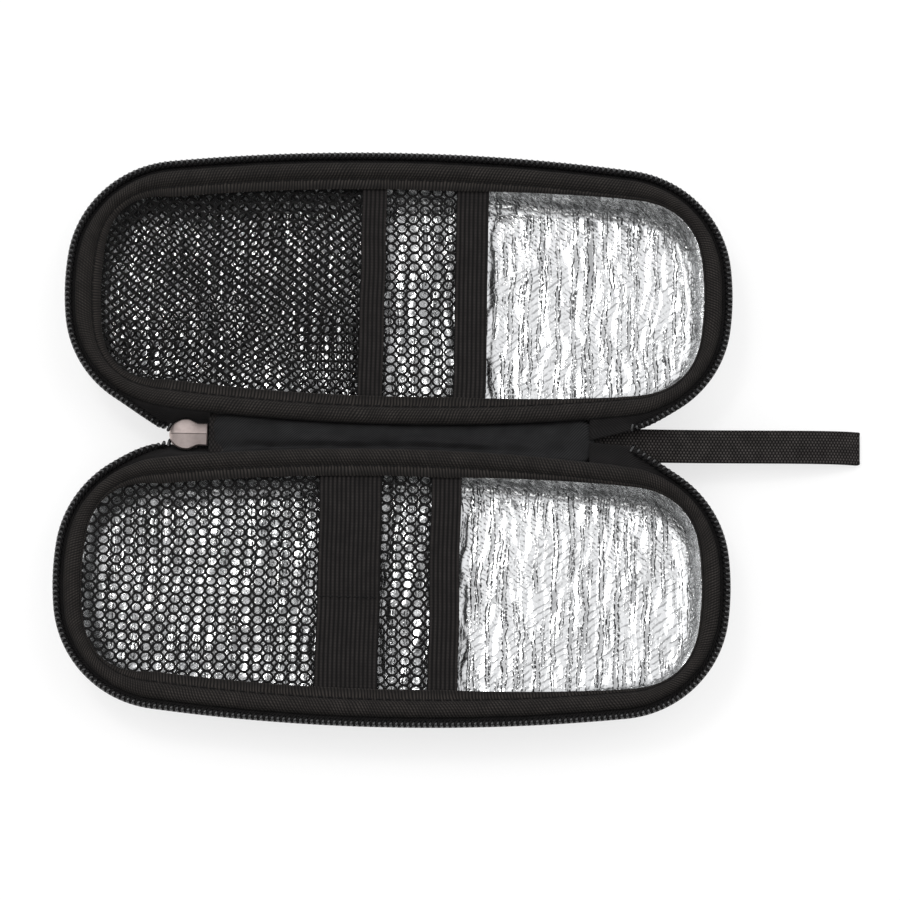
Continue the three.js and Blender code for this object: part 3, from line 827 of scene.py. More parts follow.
@dataclass(frozen=True)
class Repeat:
    """A Geometry Nodes tree that sets one small shape at each point of a piece."""

    title: str
    sizes: dict[str, float]  # named inputs of the tree, in millimetres
    shape: Callable[[NodeTree, Node], Node]

    def tree(self) -> NodeTree:
        """Builds the tree, or returns it where it is already built."""
        found = bpy.data.node_groups.get(self.title)
        if found:
            return found
        tree = bpy.data.node_groups.new(self.title, "GeometryNodeTree")
        tree.interface.new_socket("Points", in_out="INPUT", socket_type="NodeSocketGeometry")
        for size in self.sizes:
            tree.interface.new_socket(size, in_out="INPUT", socket_type="NodeSocketFloat")
        tree.interface.new_socket("Finish", in_out="INPUT", socket_type="NodeSocketMaterial")
        tree.interface.new_socket("Piece", in_out="OUTPUT", socket_type="NodeSocketGeometry")
        add = partial(add_node, tree)
        given = add("NodeGroupInput")
        across, up = (
            add("GeometryNodeInputNamedAttribute", {"Name": name}, data_type="FLOAT_VECTOR")
            for name in ("across", "up")
        )
        axes = {"Primary Axis": up, "Secondary Axis": across}
        turn = add("FunctionNodeAxesToRotation", axes, primary_axis="Z", secondary_axis="X")
        spots = {"Points": given.outputs["Points"], "Instance": self.shape(tree, given), "Rotation": turn}
        copies = add("GeometryNodeInstanceOnPoints", spots)
        real = add("GeometryNodeRealizeInstances", {"Geometry": copies})
        smoothed = add("GeometryNodeSetShadeSmooth", {"Geometry": real})
        look = {"Geometry": smoothed, "Material": given.outputs["Finish"]}
        add("NodeGroupOutput", {"Piece": add("GeometryNodeSetMaterial", look)})
        return tree

    def spread(self, name: str, places: Places, finish: Finish) -> Object:
        """Makes one plain mesh of the shape at every place.

        Args:
            name: Name of the piece.
            places: Where the shape goes, in millimetres.
            finish: Finish of the piece.

        Returns:
            The piece's object at the origin.
        """
        mesh = bpy.data.meshes.new(name)
        mesh.from_pydata((places.points * MM).tolist(), [], [])
        for label, vectors in (("across", places.across), ("up", places.up)):
            layer = mesh.attributes.new(label, "FLOAT_VECTOR", "POINT")
            layer.data.foreach_set("vector", vectors.astype(np.float32).ravel())
        piece = bpy.data.objects.new(name, mesh)
        bpy.context.scene.collection.objects.link(piece)
        tree = self.tree()
        modifier = piece.modifiers.new("Repeat", "NODES")
        modifier.node_group = tree
        for item in tree.interface.items_tree:
            if item.name in self.sizes:
                modifier[item.identifier] = self.sizes[item.name] * MM
            if item.name == "Finish":
                modifier[item.identifier] = finish.material()
        seen = piece.evaluated_get(bpy.context.evaluated_depsgraph_get())
        made = bpy.data.meshes.new_from_object(seen)
        piece.modifiers.clear()
        piece.data = made
        made.name = name
        return piece


def coil_turn(tree: NodeTree, given: Node) -> Node:
    """Shapes one turn of the zip coil: a bent filament with its nose outwards and bowed to one side.

    Args:
        tree: Geometry tree.
        given: The tree's input node.

    Returns:
        Node with the shape.
    """
    add = partial(add_node, tree)
    shares = {"back": ("Turn Width", -0.5), "nose": ("Turn Width", 0.83), "leg": ("Leg Bow", 0.9)}
    shares |= {"bow": ("Leg Bow", -1.5), "under": ("Leg Rise", -1.0)}
    at = {name: add(Sum.MULTIPLY, (given.outputs[size], share)) for name, (size, share) in shares.items()}
    at["over"] = given.outputs["Leg Rise"]
    corners = {
        "Start": ("back", "leg", "under"),
        "End": ("back", "leg", "over"),
        "Start Handle": ("nose", "bow", "under"),
        "End Handle": ("nose", "bow", "over"),
    }
    ends = {
        end: add("ShaderNodeCombineXYZ", [at[name] for name in names]) for end, names in corners.items()
    }
    bend = add("GeometryNodeCurvePrimitiveBezierSegment", {"Resolution": 7, **ends})
    section = {"Resolution": 6, "Radius": given.outputs["Filament Radius"]}
    wire = add("GeometryNodeCurvePrimitiveCircle", section)
    return add("GeometryNodeCurveToMesh", {"Curve": bend, "Profile Curve": wire, "Fill Caps": True})


def knit_ring(tree: NodeTree, given: Node) -> Node:
    """Shapes one gap of the knit: an oval ring of yarn.

    Args:
        tree: Geometry tree.
        given: The tree's input node.

    Returns:
        Node with the shape.
    """
    add = partial(add_node, tree)
    circle = add("GeometryNodeCurvePrimitiveCircle", {"Resolution": 12, "Radius": 1.0})
    oval = add("ShaderNodeCombineXYZ", (given.outputs["Half Width"], given.outputs["Half Height"], 1.0))
    shaped = add("GeometryNodeTransform", {"Geometry": circle, "Scale": oval})
    section = {"Resolution": 5, "Radius": given.outputs["Yarn Radius"]}
    yarn = add("GeometryNodeCurvePrimitiveCircle", section)
    return add("GeometryNodeCurveToMesh", {"Curve": shaped, "Profile Curve": yarn})


def lock_stitch(tree: NodeTree, given: Node) -> Node:
    """Shapes one stitch: a short bead of thread pulled down at both ends.

    Args:
        tree: Geometry tree.
        given: The tree's input node.

    Returns:
        Node with the shape.
    """
    bead = add_node(tree, "GeometryNodeMeshUVSphere", {"Segments": 6, "Rings": 5, "Radius": 1.0})
    radius, length = given.outputs["Thread Radius"], given.outputs["Half Length"]
    size = add_node(tree, "ShaderNodeCombineXYZ", (radius, length, radius))
    return add_node(tree, "GeometryNodeTransform", {"Geometry": bead, "Scale": size})


COIL_TURNS = Repeat(
    "Zip coil turns",
    {"Turn Width": 1.9, "Leg Bow": 0.38, "Leg Rise": 0.62, "Filament Radius": 0.5},
    coil_turn,
)
KNIT_RINGS = Repeat(
    "Knit rings", {"Half Width": 1.58, "Half Height": 1.42, "Yarn Radius": 0.37}, knit_ring
)
STITCHES = Repeat("Lock stitches", {"Half Length": 1.05, "Thread Radius": 0.24}, lock_stitch)


# The case's outline


@dataclass(frozen=True)
class Arc:
    """One arc of the outline, by its centre, radius and angles."""

    x: float
    y: float
    radius: float
    start: float
    stop: float

    @property
    def length(self) -> float:
        """Length along the arc."""
        return self.radius * (self.stop - self.start)

    def half_turn(self) -> "Arc":
        """The same arc on the opposite side of the case."""
        return Arc(-self.x, -self.y, self.radius, self.start + math.pi, self.stop + math.pi)

    def left(self) -> "Arc":
        """The same arc at the case's other end."""
        return Arc(-self.x, self.y, self.radius, math.pi - self.stop, math.pi - self.start)


@dataclass(frozen=True)
class Outline:
    """Outline of a half over its zip coil: eight arcs that run into one another."""

    length: float = 200.0
    width: float = 87.0
    long_radius: float = 600.0
    end_radius: float = 80.0
    corner_radius: float = 34.0

    @property
    def long_centre(self) -> float:
        """Distance of a long side's centre from the middle line."""
        return self.long_radius - self.width / 2

    def corner(self) -> tuple[float, float, float, float]:
        """Finds the arc that touches a long side and an end from inside.

        Returns:
            Its centre's X and Y, and the angles where it meets the end and the long side.
        """
        end_centre = self.length / 2 - self.end_radius
        to_long = self.long_radius - self.corner_radius
        to_end = self.end_radius - self.corner_radius
        apart = math.hypot(end_centre, self.long_centre)
        reach = (to_long**2 - to_end**2 + apart**2) / (2 * apart)
        aside = math.sqrt(to_long**2 - reach**2)
        run_x, run_y = end_centre / apart, self.long_centre / apart
        x = run_x * reach + run_y * aside
        y = run_y * reach - self.long_centre - run_x * aside
        return x, y, math.atan2(y, x - end_centre), math.atan2(y + self.long_centre, x)

    def arcs(self) -> dict[str, Arc]:
        """Lists the arcs by name, from the right end round over the spine side."""
        x, y, start, stop = self.corner()
        end = Arc(self.length / 2 - self.end_radius, 0.0, self.end_radius, -start, start)
        spine_right = Arc(x, y, self.corner_radius, start, stop)
        spine_side = Arc(0.0, -self.long_centre, self.long_radius, stop, math.pi - stop)
        spine_left = spine_right.left()
        return {
            "right_end": end,
            "spine_right": spine_right,
            "spine_side": spine_side,
            "spine_left": spine_left,
            "left_end": end.half_turn(),
            "front_left": spine_right.half_turn(),
            "front_side": spine_side.half_turn(),
            "front_right": spine_left.half_turn(),
        }


def walk(arcs: Sequence[Arc], distances: np.ndarray) -> tuple[np.ndarray, np.ndarray]:
    """Walks along a run of arcs.

    Args:
        arcs: Arcs in order.
        distances: Distances from the start of the run.

    Returns:
        The points there and the directions that point out of the case.
    """
    ends = np.cumsum([arc.length for arc in arcs])
    number = np.clip(np.searchsorted(ends, distances, side="right"), 0, len(arcs) - 1)
    before = np.concatenate([[0.0], ends])[number]
    start, radius, x, y = (
        np.array([getattr(arc, field) for arc in arcs])[number] for field in ("start", "radius", "x", "y")
    )
    angle = start + (distances - before) / radius
    outs = np.stack([np.cos(angle), np.sin(angle)], axis=1)
    return outs * radius[:, None] + np.stack([x, y], axis=1), outs


def corner_share(outs: np.ndarray) -> np.ndarray:
    """Gives nought along the sides and ends, and one half way round a corner."""
    return (2 * outs[:, 0] * outs[:, 1]) ** 2


# One half of the case


@dataclass(frozen=True)
class Elastics:
    """Left and right edges of a half's elastics along X."""

    pen_strap: tuple[float, float]
    pocket_hem: tuple[float, float]


@dataclass(frozen=True)
class TraySteps:
    """How many steps a tray has down its wall, round its bottom bend and across its floor."""

    wall: int
    bend: int
    floor: int


@dataclass
class CaseHalf:
    """One half: cover, foam, foil, binding, zip, mesh pocket and elastics.

    Everything is worked out for the base half, and mirrored across the spine for the lid half.
    """

    body: Body
    elastics: Elastics
    seed: float
    doubled: bool = False  # whether a second net lies behind the pocket's left part
    outline: Outline = Outline()
    fit_gap: float = 0.3
    rim_height: float = 17.5
    shell_inset: float = 3.5
    shell_wall: float = 2.2
    foam_wall: float = 2.0
    foil_wall: float = 0.5
    foil_step: float = 0.8
    wall_draft: float = math.radians(8)
    bottom_radius: float = 9.0
    corner_slack: float = 1.5
    floor_middle: float = 62.0  # half length of the line that the floor's rings close on
    binding_inset: float = 3.3
    piping_width: float = 4.9
    piping_height: float = 2.4
    lip_thickness: float = 0.7
    side_lip: float = 3.4
    lip_taper: float = 0.045
    taper_start: float = 15.0
    taper_run: float = 52.0
    end_lip: float = 0.6
    left_lip: float = 0.6
    tape_thickness: float = 0.5
    tape_tuck: float = 3.0
    cord_reaches: tuple[float, ...] = (0.75, 1.35, 1.9)  # of the cord inside the coil, from its edge
    coil_inset: float = 1.25
    coil_rise: float = 1.9
    coil_lean: float = math.radians(78)
    coil_width: float = 2.6
    coil_pitch: float = 1.65
    zip_setback: float = 1.2
    lead_length: float = 15.0
    lead_curve: float = 2.6
    lead_gap: float = 3.4
    stand: float = 0.8  # the coil stands this far into the slider, and then lies down
    lie_down: float = 2.6
    strap_lead_gap: float = 3.4
    tape_tail: float = 15.4  # tape past the coil's left end, through the slider
    strap_tape_tail: float = 13.0
    slider_height: float = 13.6  # middle of the slider's channel
    bend_start: float = 35.5  # the leads' cloth turns from the rim to the spine between these two
    bend_end: float = 40.3
    knit_pitch: tuple[float, float] = (3.6, 2.88)
    yarn_radius: float = 0.37
    backing_shift: tuple[float, float] = (1.9, 1.3)
    backing_drop: float = 2.6
    wide_strap: float = 12.0  # a pen strap wider than this has a cross seam
    cross_seam: float = -4.5
    elastic_thickness: float = 0.8
    rib_pitch: float = 1.3
    rib_depth: float = 0.22
    stitch_pitch: float = 2.9
    thread_sink: float = 0.12
    welt_ease: float = 12.0
    welt_drop: float = 4.6
    welt_stand: float = 0.66  # how far it stands off the wall

    def __post_init__(self) -> None:
        """Works out the heights and arcs that follow from the sizes."""
        arcs = self.outline.arcs()
        self.rim_run = list(arcs.values())
        setback = self.zip_setback / self.outline.corner_radius
        left, right = arcs["spine_left"], arcs["spine_right"]
        self.zip_run = [
            Arc(left.x, left.y, left.radius, left.start + setback, left.stop),
            arcs["left_end"],
            arcs["front_left"],
            arcs["front_side"],
            arcs["front_right"],
            arcs["right_end"],
            Arc(right.x, right.y, right.radius, right.start, right.stop - setback),
        ]
        spine = arcs["spine_side"]
        self.tape_run = [spine, left, *self.zip_run[1:6], right, spine]
        self.tape_start = spine.length + self.zip_setback
        self.rim_length = sum(arc.length for arc in self.rim_run)
        self.zip_length = sum(arc.length for arc in self.zip_run)
        self.foil_depth = self.shell_wall + self.foam_wall + 2 * self.fit_gap
        self.opening_inset = self.shell_inset + self.foil_depth + self.foil_wall + self.fit_gap
        self.tape_height = self.rim_height + self.fit_gap
        self.binding_height = self.tape_height + self.tape_thickness + self.fit_gap
        self.elastic_top = self.binding_height - self.fit_gap

    @property
    def name(self) -> str:
        """Name that the half's pieces start with."""
        return self.body.value

    def put(self, points: np.ndarray) -> np.ndarray:
        """Moves points of the base half to this half."""
        return mirrored(points) if self.body is Body.LID else points

    def put_places(self, places: Places) -> Places:
        """Moves places of the base half to this half."""
        return places.mirrored() if self.body is Body.LID else places

    def rim_places(self, step: float) -> tuple[np.ndarray, np.ndarray, np.ndarray]:
        """Spaces places evenly round the rim, alike on both sides of the middle line.

        Args:
            step: Wanted distance between places.

        Returns:
            Points, outward directions and distances, with one more distance that closes the ring.
        """
        count = 4 * round(self.rim_length / step / 4)
        end = self.rim_run[0].length / 2
        distances = np.arange(count + 1) * self.rim_length / count
        points, outs = walk(self.rim_run, (distances[:count] + end) % self.rim_length)
        return points, outs, distances

    # Trays

    def tray_profile(self, depth: float, steps: TraySteps) -> np.ndarray:
        """Draws the surface that lies some depth inside the cover, from the rim to the floor.

        Args:
            depth: Distance in from the cover's outer face.
            steps: How finely it is drawn.

        Returns:
            Inset and height of each step.
        """
        radius = max(self.bottom_radius - depth, 1.0)
        rim = self.shell_inset + depth
        centre_height = depth + radius
        slope = (self.rim_height - centre_height) * math.tan(self.wall_draft)
        centre_inset = rim + slope + radius / math.cos(self.wall_draft)
        angles = np.linspace(math.pi + self.wall_draft, 1.5 * math.pi, steps.bend + 1)
        bend = np.column_stack([np.cos(angles), np.sin(angles)]) * radius + [centre_inset, centre_height]
        share = np.linspace(0.0, 1.0, steps.wall + 1)[:-1, None]
        wall = np.array([rim, self.rim_height]) * (1 - share) + bend[0] * share
        return np.concatenate([wall, bend])

    def tray_rings(self, step: float, depth: float, slack: float, steps: TraySteps) -> np.ndarray:
        """Makes the rings of one tray surface, from the rim to the floor's middle line.

        Args:
            step: Distance between points round the rim.
            depth: Distance in from the cover's outer face.
            slack: How far the corners are let out.
            steps: How finely it is drawn.

        Returns:
            Points by place round the rim and by step.
        """
        points, outs, _ = self.rim_places(step)
        let_out = slack * corner_share(outs)
        rings = []
        for inset, height in self.tray_profile(depth, steps):
            rings.append(at_height(points - outs * (inset - let_out)[:, None], height))
        edge = rings[-1]
        middle = edge * [0.0, 0.0, 1.0]
        middle[:, 0] = np.clip(edge[:, 0], -self.floor_middle, self.floor_middle)
        for share in np.linspace(0.0, 1.0, steps.floor + 1)[1:]:
            rings.append(edge * (1 - share) + middle * share)
        return np.stack(rings, axis=1)

    def tray(
        self,
        label: str,
        finish: Finish,
        depths: tuple[float, float],
        slacks: tuple[float, float],
        step: float,
    ) -> Object:
        """Makes a closed tray between two depths.

        Args:
            label: What the piece is called after the half's name.
            finish: Finish of the piece.
            depths: Depth of its outer and inner surface.
            slacks: Slack of its outer and inner corners.
            step: Distance between points round the rim.

        Returns:
            The tray's object.
        """
        outer = self.tray_rings(step, depths[0], slacks[0], TraySteps(wall=6, bend=10, floor=6))
        inner = self.tray_rings(step, depths[1], slacks[1], TraySteps(wall=4, bend=6, floor=3))
        grid = np.concatenate([outer[:, ::-1], inner], axis=1)
        along = self.rim_places(step)[2]
        across = run_lengths(grid[0])
        return skin(f"{self.name}_{label}", self.put(grid), finish, along, across, looped=True, weld=True)

    def build_shell(self) -> None:
        """Makes the moulded shell in its woven cover, and the foam inside it."""
        shell = self.tray("woven_shell", PlainWeave(), (0.0, self.shell_wall), (0.0, 0.0), 1.6)
        seat(shell, self.body, Slot.COVER, f"{self.name}_shell")
        start = self.shell_wall + self.fit_gap
        foam = self.tray(
            "foam_liner", InsulatingFoam(), (start, start + self.foam_wall), (0.0, self.corner_slack), 3.0
        )
        seat(foam, self.body, Slot.FOAM, f"{self.name}_foam")

    def crinkle(self, x: float, y: float) -> float:
        """Gives the height of the creased foil at one place.

        Args:
            x: Place along the case.
            y: Place across the case.

        Returns:
            Height in millimetres.
        """
        sway = noise.noise(Vector((x / 17, y / 9, self.seed + 7)))
        long_fold = 1 - abs(noise.noise(Vector((x / 3.1 + 0.8 * sway, y / 19, self.seed))))
        short_fold = 1 - abs(noise.noise(Vector((x / 1.7 + sway, y / 8, self.seed + 3))))
        swell = noise.noise(Vector((x / 9, y / 12, self.seed + 11)))
        return 0.45 * long_fold**4 + 0.2 * short_fold**3 + 0.3 * swell - 0.25

    def build_foil(self) -> None:
        """Makes the creased foil that lines the tray."""
        slack, step = self.corner_slack, self.foil_step
        fine, coarse = TraySteps(wall=14, bend=9, floor=40), TraySteps(wall=2, bend=4, floor=2)
        face = self.tray_rings(step, self.foil_depth + self.foil_wall, slack, fine)
        back = self.tray_rings(step, self.foil_depth, slack, coarse)
        round_run = np.roll(face, -1, axis=0) - np.roll(face, 1, axis=0)
        down_run = np.gradient(face, axis=1)
        normal = np.cross(round_run, down_run)
        size = np.linalg.norm(normal, axis=2, keepdims=True)
        normal = np.where(size > 1e-9, normal / np.maximum(size, 1e-9), UP)
        normal *= np.sign(normal[:, -4:-3, 2:3])
        normal[:, -3:] = UP
        heights = np.array([[self.crinkle(p[0], p[1]) for p in line] for line in face])
        ease = np.clip(np.arange(face.shape[1]) / 5, 0.0, 1.0)
        heights[:, -1] = [self.crinkle(x, 0.0) for x in face[:, -1, 0]]
        face = face + normal * (heights * ease)[:, :, None]
        grid = np.concatenate([back[:, ::-1], face], axis=1)
        foil = skin(f"{self.name}_creased_foil", self.put(grid), CrinkledFoil(), looped=True, weld=True)
        seat(foil, self.body, Slot.FOIL, f"{self.name}_foil_lining")

    # Binding

    def lip(self, points: np.ndarray, outs: np.ndarray) -> np.ndarray:
        """Width of the binding's lip, which grows towards the long sides and narrows along the bay."""
        left = np.clip(-outs[:, 0], 0.0, 1.0) ** 2
        end = self.end_lip + (self.left_lip - self.end_lip) * left
        side = self.side_lip - self.lip_taper * np.clip(points[:, 0] - self.taper_start, 0.0, self.taper_run)
        return end + (side - end) * outs[:, 1] ** 6

    def build_binding(self) -> None:
        """Makes the rim binding: a rounded piping, a sewn groove and a flat lip."""
        points, outs, distances = self.rim_places(1.0)
        width = self.piping_width - self.corner_slack * corner_share(outs)
        lip = self.lip(points, outs)
        base, top = self.binding_height, self.binding_height + self.lip_thickness
        pucker = np.array([noise.noise(Vector((s / 4.5, self.seed, 0.0))) for s in distances[:-1]])
        last = math.asin(self.lip_thickness / self.piping_height)
        steps = []
        for angle in np.linspace(math.pi, last, 13):
            lift = self.piping_height * math.sin(angle)
            steps.append((
                self.binding_inset + width / 2 * (1 + math.cos(angle)) + 0.12 * pucker,
                base + lift * (1 + 0.05 * pucker),
            ))
        edge = self.binding_inset + width
        for share, height in ((0.12, top - 0.22), (0.3, top + 0.08), (0.6, top + 0.1), (0.88, top - 0.05)):
            steps.append((edge + lip * share, height + 0.1 * pucker))
        for share, height in ((1.0, top - 0.3), (0.97, base + 0.1), (0.85, base), (0.0, base)):
            steps.append((edge + lip * share, np.full(len(points), height)))
        rings = [at_height(points - outs * inset[:, None], height) for inset, height in steps]
        grid = np.stack(rings, axis=1)
        across = run_lengths(grid[0], closed=True)
        name = f"{self.name}_piped_binding"
        binding = skin(name, self.put(grid), Grosgrain(), distances, across, looped=True, tube=True)
        seat(binding, self.body, Slot.BINDING, f"{self.name}_rim_binding")
        spots, facing, _ = self.rim_places(self.stitch_pitch)
        groove = self.binding_inset + self.piping_width - self.corner_slack * corner_share(facing)
        inset = groove + 0.12 * self.lip(spots, facing)
        seam = Places(
            at_height(spots - facing * inset[:, None], top - self.thread_sink),
            at_height(facing, 0.0),
            np.tile(UP, (len(spots), 1)),
        )
        thread = STITCHES.spread(f"{self.name}_binding_stitches", self.put_places(seam), Yarn())
        seat(thread, self.body, Slot.BINDING)

    # Zip

    def coil_places(self, distances: np.ndarray) -> Places:
        """Finds the coil's middle, and how it leans, along the zip.

        Near each end the coil leaves the rim and dips to the spine: into the slider on the left, and
        over the wrist strap on the right. Past its ends it runs straight on.

        Args:
            distances: Distances along the zip, which may run past its ends.

        Returns:
            The coil's places.
        """
        held = np.clip(distances, 0.0, self.zip_length)
        points, outs = walk(self.zip_run, held)
        at_left = held < self.zip_length / 2
        to_end = np.where(at_left, held, self.zip_length - held)
        share = np.clip(to_end / self.lead_length, 0.0, 1.0)
        lead = (1 - share) ** self.lead_curve
        flat = points - outs * self.coil_inset
        end_height = np.where(at_left, self.slider_height, self.rim_height - self.fit_gap)
        into_slider = 0.29 * np.clip(np.minimum(-distances, 0.74 * (8 + distances)), 0.0, 3.4)
        gap = np.where(at_left, self.lead_gap - into_slider, self.strap_lead_gap)
        y = flat[:, 1] * (1 - lead) + (SPINE_MIDDLE - gap) * lead
        z = (self.rim_height + self.coil_rise) * (1 - lead) + end_height * lead
        past = held - distances
        middle = np.column_stack([flat[:, 0] + past, y, z])
        in_slider = np.clip((-distances - self.stand) / self.lie_down, 0.0, 1.0)
        lying = np.where(at_left, smooth(in_slider), lead**8)
        lean = self.coil_lean * (1 - lying)
        across = at_height(outs * np.cos(lean)[:, None], np.sin(lean))
        up = at_height(-outs * np.sin(lean)[:, None], np.cos(lean))
        return Places(middle, across, up)

    def coil(self, label: str, start: float, stop: float) -> Object:
        """Makes a stretch of the coil.

        Args:
            label: What the piece is called after the half's name.
            start: Where it starts along the zip.
            stop: Where it stops.

        Returns:
            The coil's object.
        """
        first = math.ceil(start / self.coil_pitch)
        last = math.floor((stop - 1e-6) / self.coil_pitch)
        places = self.coil_places(np.arange(first, last + 1) * self.coil_pitch)
        return COIL_TURNS.spread(f"{self.name}_{label}", self.put_places(places), NylonFilament())

    def tape(self, label: str, start: float, stop: float) -> Object:
        """Makes a stretch of the tape, from its tuck under the binding to the cord inside the coil.

        Args:
            label: What the piece is called after the half's name.
            start: Where it starts along the zip.
            stop: Where it stops.

        Returns:
            The tape's object.
        """
        distances = np.linspace(start, stop, max(8, round((stop - start) / 1.2)))
        places = self.coil_places(distances)
        points, outs = walk(self.tape_run, distances + self.tape_start)
        half = self.tape_thickness / 2
        level = self.tape_height + half
        tucked = at_height(points - outs * (self.binding_inset + self.tape_tuck), level)
        shoulder = at_height(points - outs * (self.binding_inset - self.fit_gap), level)
        before = np.minimum(np.maximum(-distances, 0.0), 1.0)[:, None]
        after = np.maximum(distances - self.zip_length, 0.0)[:, None]
        beyond = before + np.minimum(after, 1.0)
        closing = np.minimum(after / self.strap_tape_tail, 1.0) * (self.strap_lead_gap - 0.9)
        aside = [0.0, 1.0, 0.0] * closing + [0.0, 0.0, 0.35] * np.minimum(after, 1.0)
        brink = places.points - places.across * (self.coil_width / 2) + aside * 0.6
        drawn_in = 1 - 0.4 * before
        cord = [brink + places.across * (reach * drawn_in) + aside * 0.4 for reach in self.cord_reaches]
        upright = np.tile(UP, (len(points), 1))
        between = [shoulder * (1 - share) + brink * share for share in (0.38, 0.75)]
        line = [tucked, shoulder, *between, brink, *cord]
        lifts = [upright, upright, (upright + places.up) / 2, *[places.up] * 5]
        thickness = [np.full((len(points), 1), half * share) for share in (1.0, 1.0, 1.0, 0.9, 0.8)]
        thickness += [size * (1 - beyond) + half * 0.6 * beyond for size in (0.85, 0.95, 0.5)]
        top = [here + lift * size for here, lift, size in zip(line, lifts, thickness)]
        bottom = [here - lift * size for here, lift, size in zip(line, lifts, thickness)]
        grid = np.stack(top + bottom[::-1], axis=1)
        across = run_lengths(grid[len(grid) // 2], closed=True)
        return skin(f"{self.name}_{label}", self.put(grid), ZipTape(), distances, across, tube=True)

    def build_zip(self) -> None:
        """Makes the tape and coil: the stretch on the rim, and a lead at each end of the spine."""
        lead, end = self.lead_length, self.zip_length
        node_tape, node_coil = f"{self.name}_zip_tape", f"{self.name}_zip_coil"
        seat(self.tape("rim_tape", lead, end - lead), self.body, Slot.TAPE, node_tape)
        seat(self.coil("rim_coil", lead, end - lead), self.body, Slot.COIL, node_coil)
        order = (self.body, Body.SPINE) if self.body is Body.BASE else (Body.SPINE, self.body)
        rim, spine = np.array([0.0, self.bend_start, 0.0]), np.array([0.0, self.bend_end, 0.0])
        way = (rim, spine) if self.body is Body.BASE else (mirrored(spine), mirrored(rim))
        stretches = {
            "slider": ((-self.tape_tail, lead), (-4.2, lead)),
            "strap": ((end - lead, end + self.strap_tape_tail), (end - lead, end + 1.5)),
        }
        for label, (tape_stretch, coil_stretch) in stretches.items():
            bridge(self.tape(f"{label}_lead_tape", *tape_stretch), order, way[0], way[1], Slot.TAPE)
            bridge(self.coil(f"{label}_lead_coil", *coil_stretch), order, way[0], way[1], Slot.COIL)

    def build_welt(self) -> None:
        """Makes the binding's outer leg, sewn over the top of the shell's wall along the zip."""
        drop = self.welt_drop
        first, last = self.lead_length + 2, self.zip_length - self.lead_length - 2
        distances = np.linspace(first, last, 420)
        ease = np.clip(np.minimum(distances - first, last - distances) / self.welt_ease, 0.0, 1.0)
        shown = 0.1 + 0.9 * smooth(ease)
        points, outs = walk(self.zip_run, distances)
        slope = math.tan(self.wall_draft)
        rings = []
        section = [(0.0, 0.02), (0.0, 0.45), (0.5, 0.62), (2.3, self.welt_stand)]
        section += [(drop - 0.4, 0.6), (drop, 0.4), (drop, 0.02)]
        for fall, off in section:
            inset = self.shell_inset + fall * shown * slope - off
            rings.append(at_height(points - outs * inset[:, None], self.rim_height + 0.1 - fall * shown))
        grid = np.stack(rings, axis=1)
        across = run_lengths(grid[len(grid) // 2], closed=True)
        welt = skin(f"{self.name}_edge_welt", self.put(grid), Grosgrain(), distances, across, tube=True)
        seat(welt, self.body, Slot.BINDING)
        spots = np.arange(first + self.welt_ease, last - self.welt_ease, self.stitch_pitch)
        points, outs = walk(self.zip_run, spots)
        fall = drop - 1.3
        inset = self.shell_inset + fall * slope - self.welt_stand
        seam = Places(
            at_height(points - outs * inset, self.rim_height - fall),
            np.tile(UP, (len(points), 1)),
            at_height(outs, 0.0),
        )
        thread = STITCHES.spread(f"{self.name}_welt_stitches", self.put_places(seam), Yarn())
        seat(thread, self.body, Slot.BINDING)

    # Pocket and elastics

    def opening_reach(self, x: float) -> float:
        """How far the opening reaches from the middle line at some place along X."""
        radius = self.outline.long_radius - self.opening_inset
        return math.sqrt(radius**2 - x**2) - self.outline.long_centre

    def inset_of(self, points: np.ndarray) -> np.ndarray:
        """Measures how far points lie inside the outline.

        Args:
            points: Points of the base half.

        Returns:
            Inset of each point, with the corners let out as the foil's are.
        """
        places, outs, _ = self.rim_places(2.0)
        let_out = places + outs * (self.corner_slack * corner_share(outs))[:, None]
        depth = (let_out[None] - points[:, None, :2]) * outs[None]
        return depth.sum(axis=2).min(axis=1)

    def net(self, label: str, mouth: float, shift: tuple[float, float], drop: float, *nodes: str) -> None:
        """Makes a layer of the mesh pocket: rings of yarn, sewn in under the binding and an elastic.

        Args:
            label: What the piece is called after the half's name.
            mouth: Right edge along X.
            shift: How far the rings are moved along X and Y.
            drop: How far the layer hangs below the top one.
            *nodes: CAD nodes that it stands for.
        """
        pitch_x, pitch_y = self.knit_pitch
        columns = np.arange(-self.outline.length / 2, mouth, pitch_x) + shift[0]
        rows = np.arange(-16, 17) * pitch_y + shift[1]
        x, y = (side.ravel() for side in np.meshgrid(columns, rows))
        sway = [noise.noise(Vector((a / 26, b / 20, self.seed + 21 + drop))) for a, b in zip(x, y)]
        lean = [noise.noise(Vector((a / 30, b / 24, self.seed + 33 + drop))) for a, b in zip(x, y)]
        x, y = x + 1.1 * np.array(sway) + 0.02 * y, y + 0.9 * np.array(lean)
        height = self.elastic_top - self.elastic_thickness - self.fit_gap - 0.3
        spots = at_height(np.column_stack([x, y]), height)
        kept = spots[self.inset_of(spots) > self.opening_inset - 1.9]
        flat = Places(kept, np.tile([1.0, 0.0, 0.0], (len(kept), 1)), np.tile(UP, (len(kept), 1)))
        rings = replace(KNIT_RINGS, sizes=KNIT_RINGS.sizes | {"Yarn Radius": self.yarn_radius})
        net = rings.spread(f"{self.name}_{label}", flat, Yarn())
        points = np.empty(len(net.data.vertices) * 3)
        net.data.vertices.foreach_get("co", points)
        points = points.reshape(-1, 3) / MM
        depth = self.inset_of(points) - self.opening_inset
        sewn = np.clip((2.0 - depth) / 2.5, 0.0, 1.0)
        hang = drop * np.clip((depth - 1.0) / 9.0, 0.0, 1.0) ** 0.7
        seam_height = self.rim_height + self.fit_gap / 2 + 0.25 * (points[:, 2] - height)
